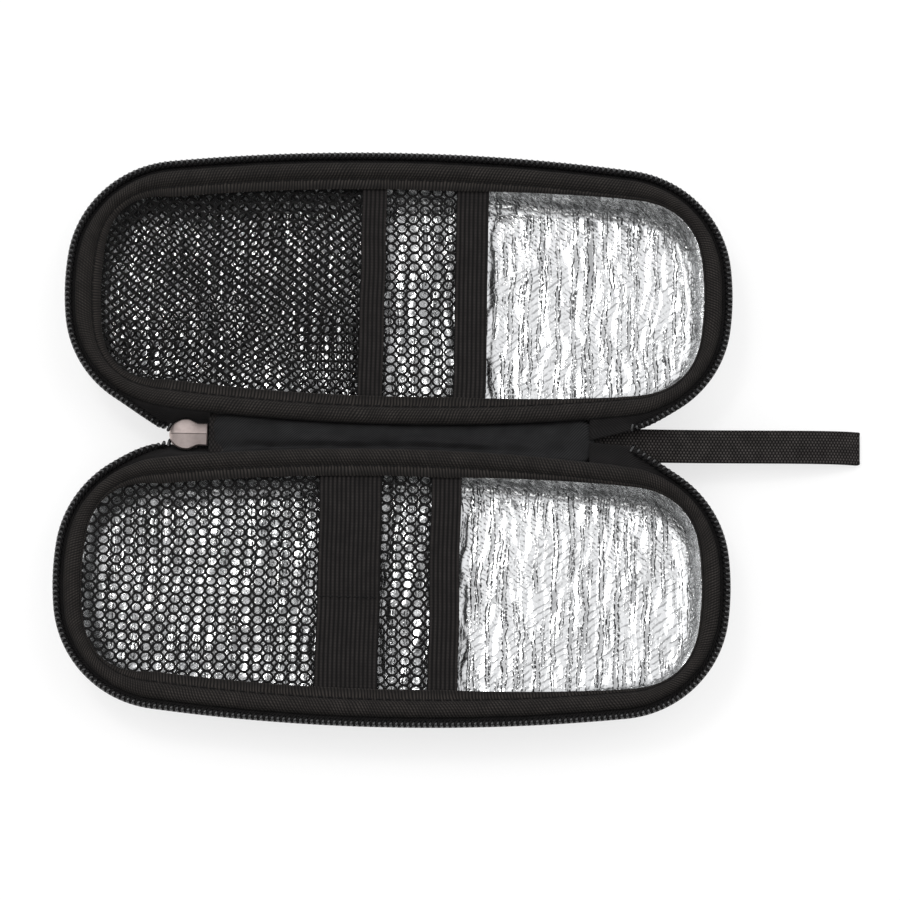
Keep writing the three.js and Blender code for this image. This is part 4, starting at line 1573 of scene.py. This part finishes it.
        sag = 0.35 * np.array([noise.noise(Vector((p[0] / 18, p[1] / 15, self.seed + 40))) for p in points])
        points[:, 2] = (points[:, 2] + sag - 0.1 - hang) * (1 - sewn) + seam_height * sewn
        net.data.vertices.foreach_set("co", (self.put(points) * MM).astype(np.float32).ravel())
        if self.body is Body.LID:
            net.data.flip_normals()
        net.data.update()
        seat(net, self.body, Slot.NETTING, *nodes)

    def build_nets(self) -> None:
        """Makes the mesh pocket, and the second layer behind it where the half has one."""
        mouth = sum(self.elastics.pocket_hem) / 2
        self.net("knit_pocket", mouth, (0.0, 0.0), 0.0, f"{self.name}_mesh_pocket")
        if self.doubled:
            backing_mouth = sum(self.elastics.pen_strap) / 2
            self.net("knit_backing", backing_mouth, self.backing_shift, self.backing_drop)

    def elastic(self, label: str, edges: tuple[float, float], node: str, dent: float | None) -> None:
        """Makes an elastic with ribs along its length.

        Args:
            label: What the piece is called after the half's name.
            edges: Left and right edge along X.
            node: CAD node that it stands for.
            dent: Place along Y where a cross seam presses it in, if it has one.
        """
        left, right = edges
        ribs = round((right - left) / self.rib_pitch)
        finer = 6
        share = np.arange(ribs * finer + 1) / finer
        x = left + (right - left) * share / ribs
        crown = np.abs(np.sin(math.pi * share)) ** 0.7
        top = self.elastic_top - self.rib_depth * (1 - crown)
        reach = min(self.opening_reach(left), self.opening_reach(right)) - 0.05
        rows = np.linspace(-reach, reach, 61)
        bottom = self.elastic_top - self.elastic_thickness
        grid = np.empty((len(rows), 2 * len(x), 3))
        for i, y in enumerate(rows):
            pull = 0.35 * noise.noise(Vector((y / 17, self.seed, left)))
            rise = 0.12 * np.array([noise.noise(Vector((a / 11, y / 13, self.seed + left))) for a in x])
            press = 0.0 if dent is None else 0.3 * math.exp(-(((y - dent) / 0.9) ** 2))
            hold = min(1.0, (reach - abs(y)) / 6)
            z = np.maximum(top + (rise - 0.06) * hold - press, bottom + 0.15)
            line = at_height((x + pull * hold)[:, None], y)
            grid[i, : len(x)] = at_height(line, z)
            grid[i, len(x) :] = at_height(line, bottom)[::-1]
        along = rows - rows[0]
        across = np.concatenate([x - left, (x - left)[::-1], [0.0]])
        band = skin(f"{self.name}_{label}", self.put(grid), RibbedElastic(), along, across, tube=True)
        seat(band, self.body, Slot.ELASTIC, node)

    def build_elastics(self) -> None:
        """Makes the pen strap, with its cross seam on the wide one, and the pocket's hem."""
        left, right = self.elastics.pen_strap
        wide = right - left > self.wide_strap
        dent = self.cross_seam if wide else None
        self.elastic("ribbed_pen_strap", (left, right), f"{self.name}_pen_strap", dent)
        self.elastic("ribbed_hem", self.elastics.pocket_hem, f"{self.name}_pocket_hem", None)
        if wide:
            spots = np.arange(left + 1.6, right - 1.0, 2.5)
            seam = Places(
                at_height(at_height(spots[:, None], self.cross_seam), self.elastic_top - self.rib_depth),
                np.tile([0.0, 1.0, 0.0], (len(spots), 1)),
                np.tile(UP, (len(spots), 1)),
            )
            thread = STITCHES.spread(f"{self.name}_strap_stitches", self.put_places(seam), Yarn())
            seat(thread, self.body, Slot.ELASTIC)

    def build(self) -> None:
        """Makes every piece of the half."""
        self.build_shell()
        self.build_foil()
        self.build_binding()
        self.build_zip()
        self.build_welt()
        self.build_elastics()
        self.build_nets()


# The spine between the halves


@dataclass
class Spine:
    """Satin lining inside, woven gusset outside, and the closed end of the zip."""

    outline: Outline = Outline()
    shell_inset: float = 3.5
    fit_gap: float = 0.3
    seam: float = 0.5  # how far a strip's edge is sewn in under the rim
    lining_top: float = 17.0
    lining_thickness: float = 0.5
    lining_left: float = -55.4
    lining_right: float = 59.0
    lining_round: float = 4.5
    cut_width: float = 10.5  # of each side's strip, at its widest
    gusset_top: float = 15.7
    gusset_thickness: float = 0.8
    gusset_right: float = 61.0
    bend_start: float = 39.6  # cloth turns from the base's rim to the spine between these two
    bend_end: float = 43.2
    tail_left: float = -59.3
    tail_right: float = -43.7
    tail_height: float = 13.6
    row_aside: float = 0.55  # how far each row of closed turns lies off the middle
    coil_pitch: float = 1.65

    def edge(self, x: np.ndarray, tuck: float) -> np.ndarray:
        """How far along Y the base's rim stands at some place along X, less a tuck."""
        radius = self.outline.long_radius - self.shell_inset + self.fit_gap
        return np.sqrt(radius**2 - x**2) - self.outline.long_centre - tuck

    def strip(
        self,
        name: str,
        ends: tuple[float, float],
        heights: Callable[[np.ndarray, np.ndarray], np.ndarray],
        thickness: float,
        round_end: float,
        finish: Finish,
        half: Body,
    ) -> Object:
        """Makes one half of a strip of cloth, from a rim to the spine's middle.

        Args:
            name: Name of the piece.
            ends: Left and right end along X.
            heights: Top height by X and by share of the way from rim to middle.
            thickness: Thickness of the cloth.
            round_end: How far the right end is rounded off.
            finish: Finish of the piece.
            half: Half whose rim it is sewn to.

        Returns:
            The strip's object.
        """
        x = np.linspace(ends[0], ends[1], 116)
        share = np.linspace(0.0, 1.0, 12)
        near_end = np.clip((x - (ends[1] - round_end)) / max(round_end, 1e-6), 0.0, 1.0)
        pulled = 1 - np.sqrt(np.maximum(0.0, 1 - near_end**2))
        edge = self.edge(x, self.seam)
        rim = edge + (SPINE_MIDDLE - edge - 0.4) * 0.85 * pulled
        y = rim[:, None] * (1 - share) + SPINE_MIDDLE * share
        across_x = np.repeat(x[:, None], len(share), axis=1)
        top = heights(across_x, np.repeat(share[None], len(x), axis=0))
        upper = np.stack([across_x, y, top], axis=2)
        lower = np.stack([across_x, y, top - thickness], axis=2)
        grid = np.concatenate([upper, lower[:, ::-1]], axis=1)
        run = SPINE_MIDDLE - y[len(x) // 2]
        across = np.concatenate([run, run[::-1], run[:1]])
        points = mirrored(grid) if half is Body.LID else grid
        strip = skin(name, points, finish, x - ends[0], across if half is Body.LID else -across, tube=True)
        strip.data.set_sharp_from_angle(angle=math.radians(40))
        return strip

    def join(self, piece: Object, half: Body, slot: Slot, *nodes: str) -> None:
        """Fixes a strip that runs from its rim to the spine where it lies, through bridge.

        Args:
            piece: Finished strip.
            half: Half whose rim it is sewn to.
            slot: Material slot of the record.
            *nodes: CAD nodes that it stands for.
        """
        start = np.array([0.0, self.bend_start, self.lining_top])
        end = np.array([0.0, self.bend_end, self.lining_top])
        if half is Body.LID:
            bridge(piece, (Body.SPINE, Body.LID), mirrored(end), mirrored(start), slot, *nodes)
        else:
            bridge(piece, (Body.BASE, Body.SPINE), start, end, slot, *nodes)

    def lining_height(self, half: Body) -> Callable[[np.ndarray, np.ndarray], np.ndarray]:
        """Gives the lining's shape: a soft roll on the lid's side and a valley on the base's side.

        Args:
            half: Half whose rim it is sewn to.

        Returns:
            Function from X and share to height.
        """
        on_lid = half is Body.LID

        def height(x: np.ndarray, share: np.ndarray) -> np.ndarray:
            """Height of the lining's face."""
            bulge = 0.55 * np.clip((x - self.lining_left) / 16, 0.0, 1.0) * np.clip((60 - x) / 14, 0.0, 1.0)
            ripple = np.array([
                [noise.noise(Vector((a / 15, s * 1.5, 3.0 + on_lid))) for a, s in zip(line, part)]
                for line, part in zip(x, share)
            ])
            free = 4 * share * (1 - share)
            if on_lid:
                roll = 0.45 * free * np.clip(1 - (x / 60) ** 2, 0.0, 1.0)
            else:
                fade = np.clip((58 - x) / 40, 0.0, 1.0)
                roll = -0.95 * np.exp(-(((share - 0.36) / 0.24) ** 2)) * fade
            held = np.minimum(1.0, 5 * share)
            crush = np.array([
                [noise.noise(Vector((a / 6 + 2 * s, s * 2.5, 9.0 + on_lid))) for a, s in zip(line, part)]
                for line, part in zip(x, share)
            ])
            tuck = 0.3 * crush * free - 2.2 * np.clip(1 - (x - self.lining_left) / 9, 0.0, 1.0) ** 2
            tuck -= 0.5 * np.clip(1 - share / 0.14, 0.0, 1.0) ** 2
            return self.lining_top + bulge * share**1.3 + (roll + 0.3 * ripple * free) * held + tuck

        return height

    def gusset_height(self, x: np.ndarray, share: np.ndarray) -> np.ndarray:
        """Height of the gusset's face, which is level."""
        return np.full(x.shape, self.gusset_top)

    def build(self) -> None:
        """Makes the lining, the gusset and the zip's closed end."""
        lining_ends = (self.lining_left, self.lining_right)
        gusset_ends = (self.lining_left, self.gusset_right)
        for half in (Body.BASE, Body.LID):
            side = half.value
            lining = self.strip(
                f"spine_lining_{side}_side",
                lining_ends,
                self.lining_height(half),
                self.lining_thickness,
                self.lining_round,
                SatinTwill(),
                half,
            )
            self.join(lining, half, Slot.SATIN, "spine_lining")
            gusset = self.strip(
                f"spine_gusset_{side}_side",
                gusset_ends,
                self.gusset_height,
                self.gusset_thickness,
                0.0,
                PlainWeave(),
                half,
            )
            self.join(gusset, half, Slot.COVER, "spine_gusset")
        self.build_tail()

    def build_tail(self) -> None:
        """Makes the closed end of the zip: two rows of turns that mesh, under the gusset."""
        along = np.arange(self.tail_left + 0.5, self.tail_right - 0.4, self.coil_pitch)
        rows = []
        for hand, shift in ((1.0, 0.0), (-1.0, self.coil_pitch / 2)):
            spots = np.tile([0.0, SPINE_MIDDLE - hand * self.row_aside, self.tail_height], (len(along), 1))
            spots[:, 0] = along + shift
            toward = np.tile([0.0, hand, 0.0], (len(along), 1))
            rows.append(Places(spots, toward, np.tile(UP, (len(along), 1))))
        meshed = Places(*(np.concatenate([getattr(r, f) for r in rows]) for f in ("points", "across", "up")))
        tail = COIL_TURNS.spread("spine_closed_coil", meshed, NylonFilament())
        seat(tail, Body.SPINE, Slot.COIL, "zip_tail")
        x = np.linspace(self.tail_left + 0.4, self.tail_right, 14)
        right = [(0.0, 0.22), (3.4, 0.1), (5.0, -0.25), (5.2, -0.4), (5.0, -0.55), (3.4, -0.25)]
        section = right + [(-a, b) for a, b in right[:0:-1]]
        rings = [
            np.column_stack([x, np.full((len(x), 2), (SPINE_MIDDLE + a, self.tail_height + b))])
            for a, b in section
        ]
        across = np.array([a for a, _ in section] + [section[0][0]])
        tape = skin("spine_closed_tape", np.stack(rings, axis=1), ZipTape(), x - x[0], across, tube=True)
        seat(tape, Body.SPINE, Slot.TAPE)


# Slider and pull tab


@dataclass
class ZipSlider:
    """Nickel slider, seen from its inner side: a round head, a square neck and a ridge between them."""

    tip: float = -67.18
    length: float = 11.5
    width: float = 9.3
    neck_length: float = 2.5
    neck_width: float = 6.7
    plate: float = 1.2
    ridge: float = 1.2
    outer_crown: float = 0.2
    seam: float = 0.2  # step beside the ridge where the casting's two sides meet
    channel_low: float = 12.3
    channel_high: float = 14.9
    bevel: float = 0.32
    slot: float = 0.7  # gap between the guides that the tape runs through
    lug_span: float = 4.0
    lug_height: float = 2.2
    lug_bar: float = 1.2
    lug_width: float = 2.0
    tab_rounding: float = 0.28

    def outline(self, inset: float) -> np.ndarray:
        """Draws half of the plate's outline from the head's tip to the neck's end.

        Args:
            inset: How far the outline is drawn in.

        Returns:
            X and Y of each point, with Y from nought upwards.
        """
        head, neck = self.width / 2 - inset, self.neck_width / 2 - inset
        middle = self.length * 0.45
        turn = np.linspace(math.pi, math.pi / 2, 15)
        arc = np.column_stack([middle + (middle - inset) * np.cos(turn), head * np.sin(turn)])
        shoulder = self.length - self.neck_length
        share = np.linspace(0.0, 1.0, 13)[1:]
        fall = 1 - smooth(share)
        sweep = np.column_stack([middle + (shoulder - middle) * share, neck + (head - neck) * fall])
        end = self.length - inset
        neck_end = np.array([[end - 0.5, neck + 0.06], [end - 0.08, neck], [end, 0.0]])
        return np.concatenate([arc, sweep, neck_end])

    def plate_points(self, low: float, high: float, crown: float, upwards: bool) -> np.ndarray:
        """Makes a bevelled plate with a ridge along its middle.

        Args:
            low: Height of its lower face.
            high: Height of its upper face at the sides.
            crown: Height of the ridge above that.
            upwards: Whether the ridge is on the upper face.

        Returns:
            Points by place round the outline and by step from face to face.
        """
        steps = [(self.bevel, low), (0.0, low + self.bevel), (0.0, high - self.bevel), (self.bevel, high)]
        rings = []
        for inset, height in steps:
            half = self.outline(inset)
            whole = np.concatenate([half, (half * [1.0, -1.0])[-2:0:-1]])
            rings.append(at_height(whole, height))
        neck_end = len(half) - 1
        side = np.abs(rings[-1][:, 1])
        side[neck_end] = side[neck_end - 1]
        middle = rings[-1] * [1.0, 0.0, 1.0]
        middle[:, 2] += crown * np.minimum(side / 3, 1.0)
        rings[-1][neck_end, 2] += crown
        line = middle.copy()
        below = rings[-1][:, 1] < -0.3
        line[below] += [0.0, -0.16, -self.seam]
        floor = rings[0] * [1.0, 0.0, 1.0]
        grid = np.stack([floor, *rings, line, middle], axis=1)
        if not upwards:
            grid[:, :, 2] = low + high - grid[:, :, 2]
        return grid

    def place(self, grid: np.ndarray) -> np.ndarray:
        """Moves points from the slider's tip to its place on the spine."""
        return grid + [self.tip, SPINE_MIDDLE, 0.0]

    def bar(self, corners: Sequence[Sequence[float]], low: float, high: float) -> np.ndarray:
        """Makes an upright bar with eased ends from a flat outline.

        Args:
            corners: X and Y of the outline.
            low: Height of its foot.
            high: Height of its head.

        Returns:
            Points by corner and by step, closed at both ends.
        """
        flat = np.array(corners, float)
        centre = flat.mean(axis=0)
        rings = []
        for share, height in ((0.0, low), (1.0, low), (1.0, high), (0.0, high)):
            rings.append(at_height(centre + (flat - centre) * share, height))
        return np.stack(rings, axis=1)

    def lug(self) -> np.ndarray:
        """Makes the arch under the outer plate that the pull tab turns in."""
        middle = self.length / 2
        top = self.channel_low - self.plate + 0.2
        reach = self.lug_span / 2 + self.lug_bar / 2
        drop = self.lug_height + self.lug_bar / 2 + 0.2
        corner = 1.1
        path = [(-reach, 0.0), (-reach, -drop + corner)]
        path += [
            (-reach + corner * (1 - math.cos(t)), -drop + corner * (1 - math.sin(t)))
            for t in np.linspace(0.0, math.pi / 2, 5)[1:]
        ]
        path += [(-a, b) for a, b in path[::-1]]
        line = np.array([(middle + a, top + b) for a, b in path])
        run = np.gradient(line, axis=0)
        run /= np.linalg.norm(run, axis=1, keepdims=True)
        normal = np.column_stack([-run[:, 1], run[:, 0]])
        rings = []
        for angle in np.linspace(0.0, math.tau, 12, endpoint=False):
            out = self.lug_bar / 2 * math.copysign(abs(math.cos(angle)) ** 0.6, math.cos(angle))
            side = self.lug_width / 2 * math.copysign(abs(math.sin(angle)) ** 0.6, math.sin(angle))
            here = line + normal * out
            rings.append(np.column_stack([here[:, 0], np.full(len(here), side), here[:, 1]]))
        return np.stack(rings, axis=1)

    def build(self) -> None:
        """Makes the slider as one piece: two plates, a post, slotted guides and the lug."""
        neck = self.length - self.neck_length
        side = self.neck_width / 2
        low, high = self.channel_low - 0.1, self.channel_high + 0.1
        post = [[0.8, 0.0], [1.3, -0.55], [2.0, -0.7], [3.4, 0.0], [2.0, 0.7], [1.3, 0.55]]
        end, outer, inner = self.length - 0.2, side - 0.45, side - 1.15
        guide = np.array([[neck, outer], [end, outer], [end, inner], [neck, inner]])
        slot = (low + high) / 2
        guides = [
            self.bar(guide * [1, hand], foot, head)
            for hand in (1, -1)
            for foot, head in ((low, slot - self.slot / 2), (slot + self.slot / 2, high))
        ]
        bottom, top = self.channel_low - self.plate, self.channel_high + self.plate
        closed = {
            "inner_plate": self.plate_points(self.channel_high, top, self.ridge, True),
            "outer_plate": self.plate_points(bottom, self.channel_low, self.outer_crown, False),
            "post": self.bar(post, low, high),
        }
        closed |= {f"guide_{i}": bar for i, bar in enumerate(guides)}
        parts = [
            skin(name, self.place(grid), NickelPlate(), looped=True, weld=True)
            for name, grid in closed.items()
        ]
        parts.append(skin("lug", self.place(self.lug()), NickelPlate(), tube=True))
        slider = joined("nickel_slider", parts)
        slider.data.set_sharp_from_angle(angle=math.radians(11))
        seat(slider, Body.SLIDER, Slot.NICKEL, "zip_slider")

    def build_tab(self) -> None:
        """Makes the pull tab: the CAD tab with its edges rounded over."""
        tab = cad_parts["zip_pull_tab"].copy()
        tab.data = tab.data.copy()
        tab.name = "nickel_pull_tab"
        tab.parent = None
        for key in list(tab.keys()):
            del tab[key]
        bpy.context.scene.collection.objects.link(tab)
        work = bmesh.new()
        work.from_mesh(tab.data)
        bmesh.ops.remove_doubles(work, verts=work.verts, dist=1e-6)
        bmesh.ops.dissolve_limit(work, angle_limit=math.radians(1), verts=work.verts, edges=work.edges)
        work.to_mesh(tab.data)
        work.free()
        tab.data.materials.clear()
        tab.data.materials.append(NickelPlate().material())
        rounding = tab.modifiers.new("Rounding", "BEVEL")
        rounding.width = self.tab_rounding * MM
        rounding.segments = 3
        rounding.limit_method = "ANGLE"
        rounding.angle_limit = math.radians(40)
        made = bpy.data.meshes.new_from_object(tab.evaluated_get(bpy.context.evaluated_depsgraph_get()))
        tab.modifiers.clear()
        tab.data = made
        made.shade_smooth()
        made.set_sharp_from_angle(angle=math.radians(30))
        seat(tab, Body.PULL_TAB, Slot.NICKEL, "zip_pull_tab")


def joined(name: str, parts: Sequence[Object]) -> Object:
    """Joins parts of one casting into one piece.

    Args:
        name: Name of the piece.
        parts: Objects at the origin, which are used up.

    Returns:
        The joined object.
    """
    work = bmesh.new()
    for part in parts:
        work.from_mesh(part.data)
    mesh = bpy.data.meshes.new(name)
    work.to_mesh(mesh)
    work.free()
    mesh.materials.append(parts[0].data.materials[0])
    mesh.shade_smooth()
    for part in parts:
        bpy.data.objects.remove(part)
    piece = bpy.data.objects.new(name, mesh)
    bpy.context.scene.collection.objects.link(piece)
    return piece


# Wrist strap


@dataclass
class WristStrap:
    """Narrow webbing folded into a loop, with both ends sewn under the gusset."""

    root: float = 60.5
    width: float = 10.0
    thickness: float = 1.0
    reach: float = 79.0
    drift: float = 3.2
    slip: float = 0.24  # how far the lower run lies aside, as a share of its drop
    crown: float = 10.5
    root_height: float = 13.8
    fit_gap: float = 0.3
    table: float = 0.7

    def bend(self, points: Sequence[Sequence[float]], count: int) -> np.ndarray:
        """Walks a cubic Bezier curve.

        Args:
            points: Its four control points in X and Z.
            count: Number of points on it.

        Returns:
            Points on the curve.
        """
        t = np.linspace(0.0, 1.0, count)[:, None]
        a, b, c, d = (np.array(p) for p in points)
        return a * (1 - t) ** 3 + 3 * b * t * (1 - t) ** 2 + 3 * c * t**2 * (1 - t) + d * t**3

    def line(self) -> np.ndarray:
        """Draws the webbing's middle line: out along the top, round the fold and back below."""
        turn = (self.thickness + self.fit_gap) / 2
        fold = self.reach - turn - self.thickness / 2
        crest = (8 * self.crown - self.root_height - self.table - 2 * turn) / 3
        upper = self.bend([
            (0.0, self.root_height), (fold * 0.36, crest * 0.56),
            (fold * 0.84, crest * 0.44), (fold, self.table + 2 * turn),
        ], 70)
        angle = np.linspace(math.pi / 2, -math.pi / 2, 12)[1:-1]
        end = np.column_stack([fold + turn * np.cos(angle), self.table + turn + turn * np.sin(angle)])
        lower = self.bend([
            (fold, self.table), (fold * 0.6, self.table * 0.9),
            (fold * 0.32, self.table * 0.9), (0.0, self.root_height - 2 * turn),
        ], 60)
        return np.concatenate([upper, end, lower])

    def build(self) -> None:
        """Makes the webbing with its thicker woven edges."""
        line = self.line()
        run = np.gradient(line, axis=0)
        run /= np.linalg.norm(run, axis=1, keepdims=True)
        normal = np.column_stack([-run[:, 1], run[:, 0]])
        half, side = self.thickness / 2, self.width / 2
        left = [(-side + 0.12, half * 0.8), (-side + 0.45, half), (-side + 1.3, half * 0.82)]
        top = [(-side, 0.0), *left, (0.0, half * 0.86), *((-a, b) for a, b in left[::-1])]
        section = top + [(-a, -b) for a, b in top]
        rings = []
        out = np.argmax(line[:, 0])
        under = np.arange(len(line)) > out
        above = np.interp(line[:, 0], line[:out, 0], line[:out, 1])
        slip = np.where(under, np.maximum(above - line[:, 1] - 1.3, 0.0), 0.0) * self.slip
        for across, lift in section:
            here = line + normal * lift
            drift = self.drift * (here[:, 0] / self.reach) ** 2 + slip
            rings.append(np.column_stack([self.root + here[:, 0], SPINE_MIDDLE + across + drift, here[:, 1]]))
        grid = np.stack(rings, axis=1)
        along = run_lengths(line)
        width = np.array([across for across, _ in section] + [section[0][0]]) + side
        strap = skin("webbing_loop", grid, NarrowWebbing(), along, width, tube=True)
        seat(strap, Body.STRAP, Slot.WEBBING, "wrist_strap")


# Studio


@dataclass
class Studio:
    """Pale floor, soft light from above and the photograph's camera."""

    target: tuple[float, float, float] = (16.3, 40.4, 18.0)
    distance: float = 1250.0
    elevation: float = math.radians(77.45)
    roll: float = math.radians(1.24)
    lens: float = 168.7
    sky_lean: float = math.radians(33)  # how far the sky's bright middle lies behind the case
    sky_sides: float = 0.5  # how much further the bright sky reaches down at the left and right
    sky_edge: tuple[float, float] = (0.58, 0.93)  # where the dark sky ends and the bright sky starts
    sky_levels: tuple[float, float] = (0.15, 0.86)  # strength of the dark and of the bright sky
    side_gain: float = 0.5  # how much brighter the sky is at the left and right
    floor_radius: float = 3000.0
    backdrop_height: float = 700.0
    paper_thickness: float = 5.0
    floor_drop: float = 0.3

    def build_floor(self) -> None:
        """Makes the round paper floor, which turns up into a low backdrop all round."""
        turn = np.linspace(0.0, 2 * math.pi, 96, endpoint=False)
        around = np.column_stack([np.cos(turn), np.sin(turn)])
        rise = [(0.0, 0.0), (0.72, 0.0), (0.8, 0.0), (0.9, 0.1), (0.97, 0.45), (1.0, 1.0)]
        face = [(share * self.floor_radius, lift * self.backdrop_height) for share, lift in rise]
        back = [(radius, height - self.paper_thickness) for radius, height in face[::-1]]
        grid = np.stack([
            at_height(radius * around, height - self.floor_drop)
            for radius, height in face + back
        ], axis=1)
        skin("paper_floor", grid, StudioPaper(), looped=True, weld=True)

    def build_light(self) -> None:
        """Makes a bright overhead sky that darkens towards the front and back, and soft lamps."""
        world = bpy.data.worlds.new("soft overhead light")
        bpy.context.scene.world = world
        world.use_nodes = True
        tree = world.node_tree
        tree.nodes.clear()
        add = partial(add_node, tree)
        facing = add("ShaderNodeTexCoord").outputs["Generated"]
        middle = (0.0, math.sin(self.sky_lean), math.cos(self.sky_lean))
        toward = add("ShaderNodeVectorMath", (facing, middle), operation="DOT_PRODUCT").outputs["Value"]
        aside = add(Sum.ABSOLUTE, (add("ShaderNodeSeparateXYZ", (facing,)),))
        reach = add(Sum.MULTIPLY_ADD, (aside, self.sky_sides, toward))
        span = (reach, *self.sky_edge, *self.sky_levels)
        level = add("ShaderNodeMapRange", span, interpolation_type="SMOOTHSTEP")
        raised = add(Sum.MULTIPLY_ADD, (aside, self.side_gain, 1.0))
        strength = add(Sum.MULTIPLY, (level, raised))
        sky = add("ShaderNodeBackground", {"Color": linear("#fdfdff"), "Strength": strength})
        add("ShaderNodeOutputWorld", {"Surface": sky})
        self.lamp("left", (-900.0, 400.0, 1450.0), 1450.0, 7.0, mirrored=False)
        self.lamp("right", (900.0, 400.0, 1450.0), 1450.0, 7.0, mirrored=False)
        self.lamp("fill", (0.0, -900.0, 1500.0), 1300.0, 5.0, mirrored=False)
        self.lamp("front", (0.0, -1150.0, 1150.0), 600.0, 1.6)
        self.lamp("glint", (-420.0, 500.0, 1600.0), 260.0, 4.0)

    def lamp(
        self, name: str, place: tuple[float, float, float], size: float, power: float, mirrored: bool = True
    ) -> None:
        """Adds a square soft lamp that faces the case.

        Args:
            name: Name of the lamp.
            place: Where it stands.
            size: Length of its side.
            power: Power in watts.
            mirrored: Whether shiny surfaces show it.
        """
        light = bpy.data.lights.new(name, "AREA")
        light.size = size * MM
        light.energy = power
        lamp = bpy.data.objects.new(name, light)
        lamp.visible_glossy = mirrored
        lamp.location = Vector(place) * MM
        away = lamp.location - Vector(self.target) * MM
        lamp.rotation_euler = away.to_track_quat("Z", "Y").to_euler()
        bpy.context.scene.collection.objects.link(lamp)

    def build_camera(self) -> None:
        """Sets the camera where the photograph was taken from."""
        forward = Vector((0.0, math.cos(self.elevation), -math.sin(self.elevation)))
        level = Vector((1.0, 0.0, 0.0))
        upright = level.cross(forward)
        right = level * math.cos(self.roll) + upright * math.sin(self.roll)
        up = upright * math.cos(self.roll) - level * math.sin(self.roll)
        data = bpy.data.cameras.new("camera")
        data.lens = self.lens
        data.sensor_width = 36.0
        data.clip_start = 0.01
        camera = bpy.data.objects.new("camera", data)
        turned = Matrix((right, up, -forward)).transposed().to_4x4()
        stand = (Vector(self.target) - forward * self.distance) * MM
        camera.matrix_world = Matrix.Translation(stand) @ turned
        bpy.context.scene.collection.objects.link(camera)
        bpy.context.scene.camera = camera

    def build(self) -> None:
        """Makes the floor, the light and the camera."""
        bpy.context.scene.view_settings.view_transform = "Standard"
        self.build_camera()
        self.build_floor()
        self.build_light()


def main() -> None:
    """Builds the studio and every sub-assembly."""
    logging.basicConfig(level=logging.INFO, format="%(message)s")
    Studio().build()
    CaseHalf(
        Body.BASE, Elastics(pen_strap=(-22.0, -3.5), pocket_hem=(11.1, 20.0)), seed=1.7, strap_lead_gap=2.0
    ).build()
    CaseHalf(
        Body.LID, Elastics(pen_strap=(-11.7, -4.3), pocket_hem=(16.7, 26.4)), seed=5.3, doubled=True,
        left_lip=2.9, strap_lead_gap=4.4, yarn_radius=0.345,
    ).build()
    Spine().build()
    slider = ZipSlider()
    slider.build()
    slider.build_tab()
    WristStrap().build()


if __name__ == "__main__":
    main()
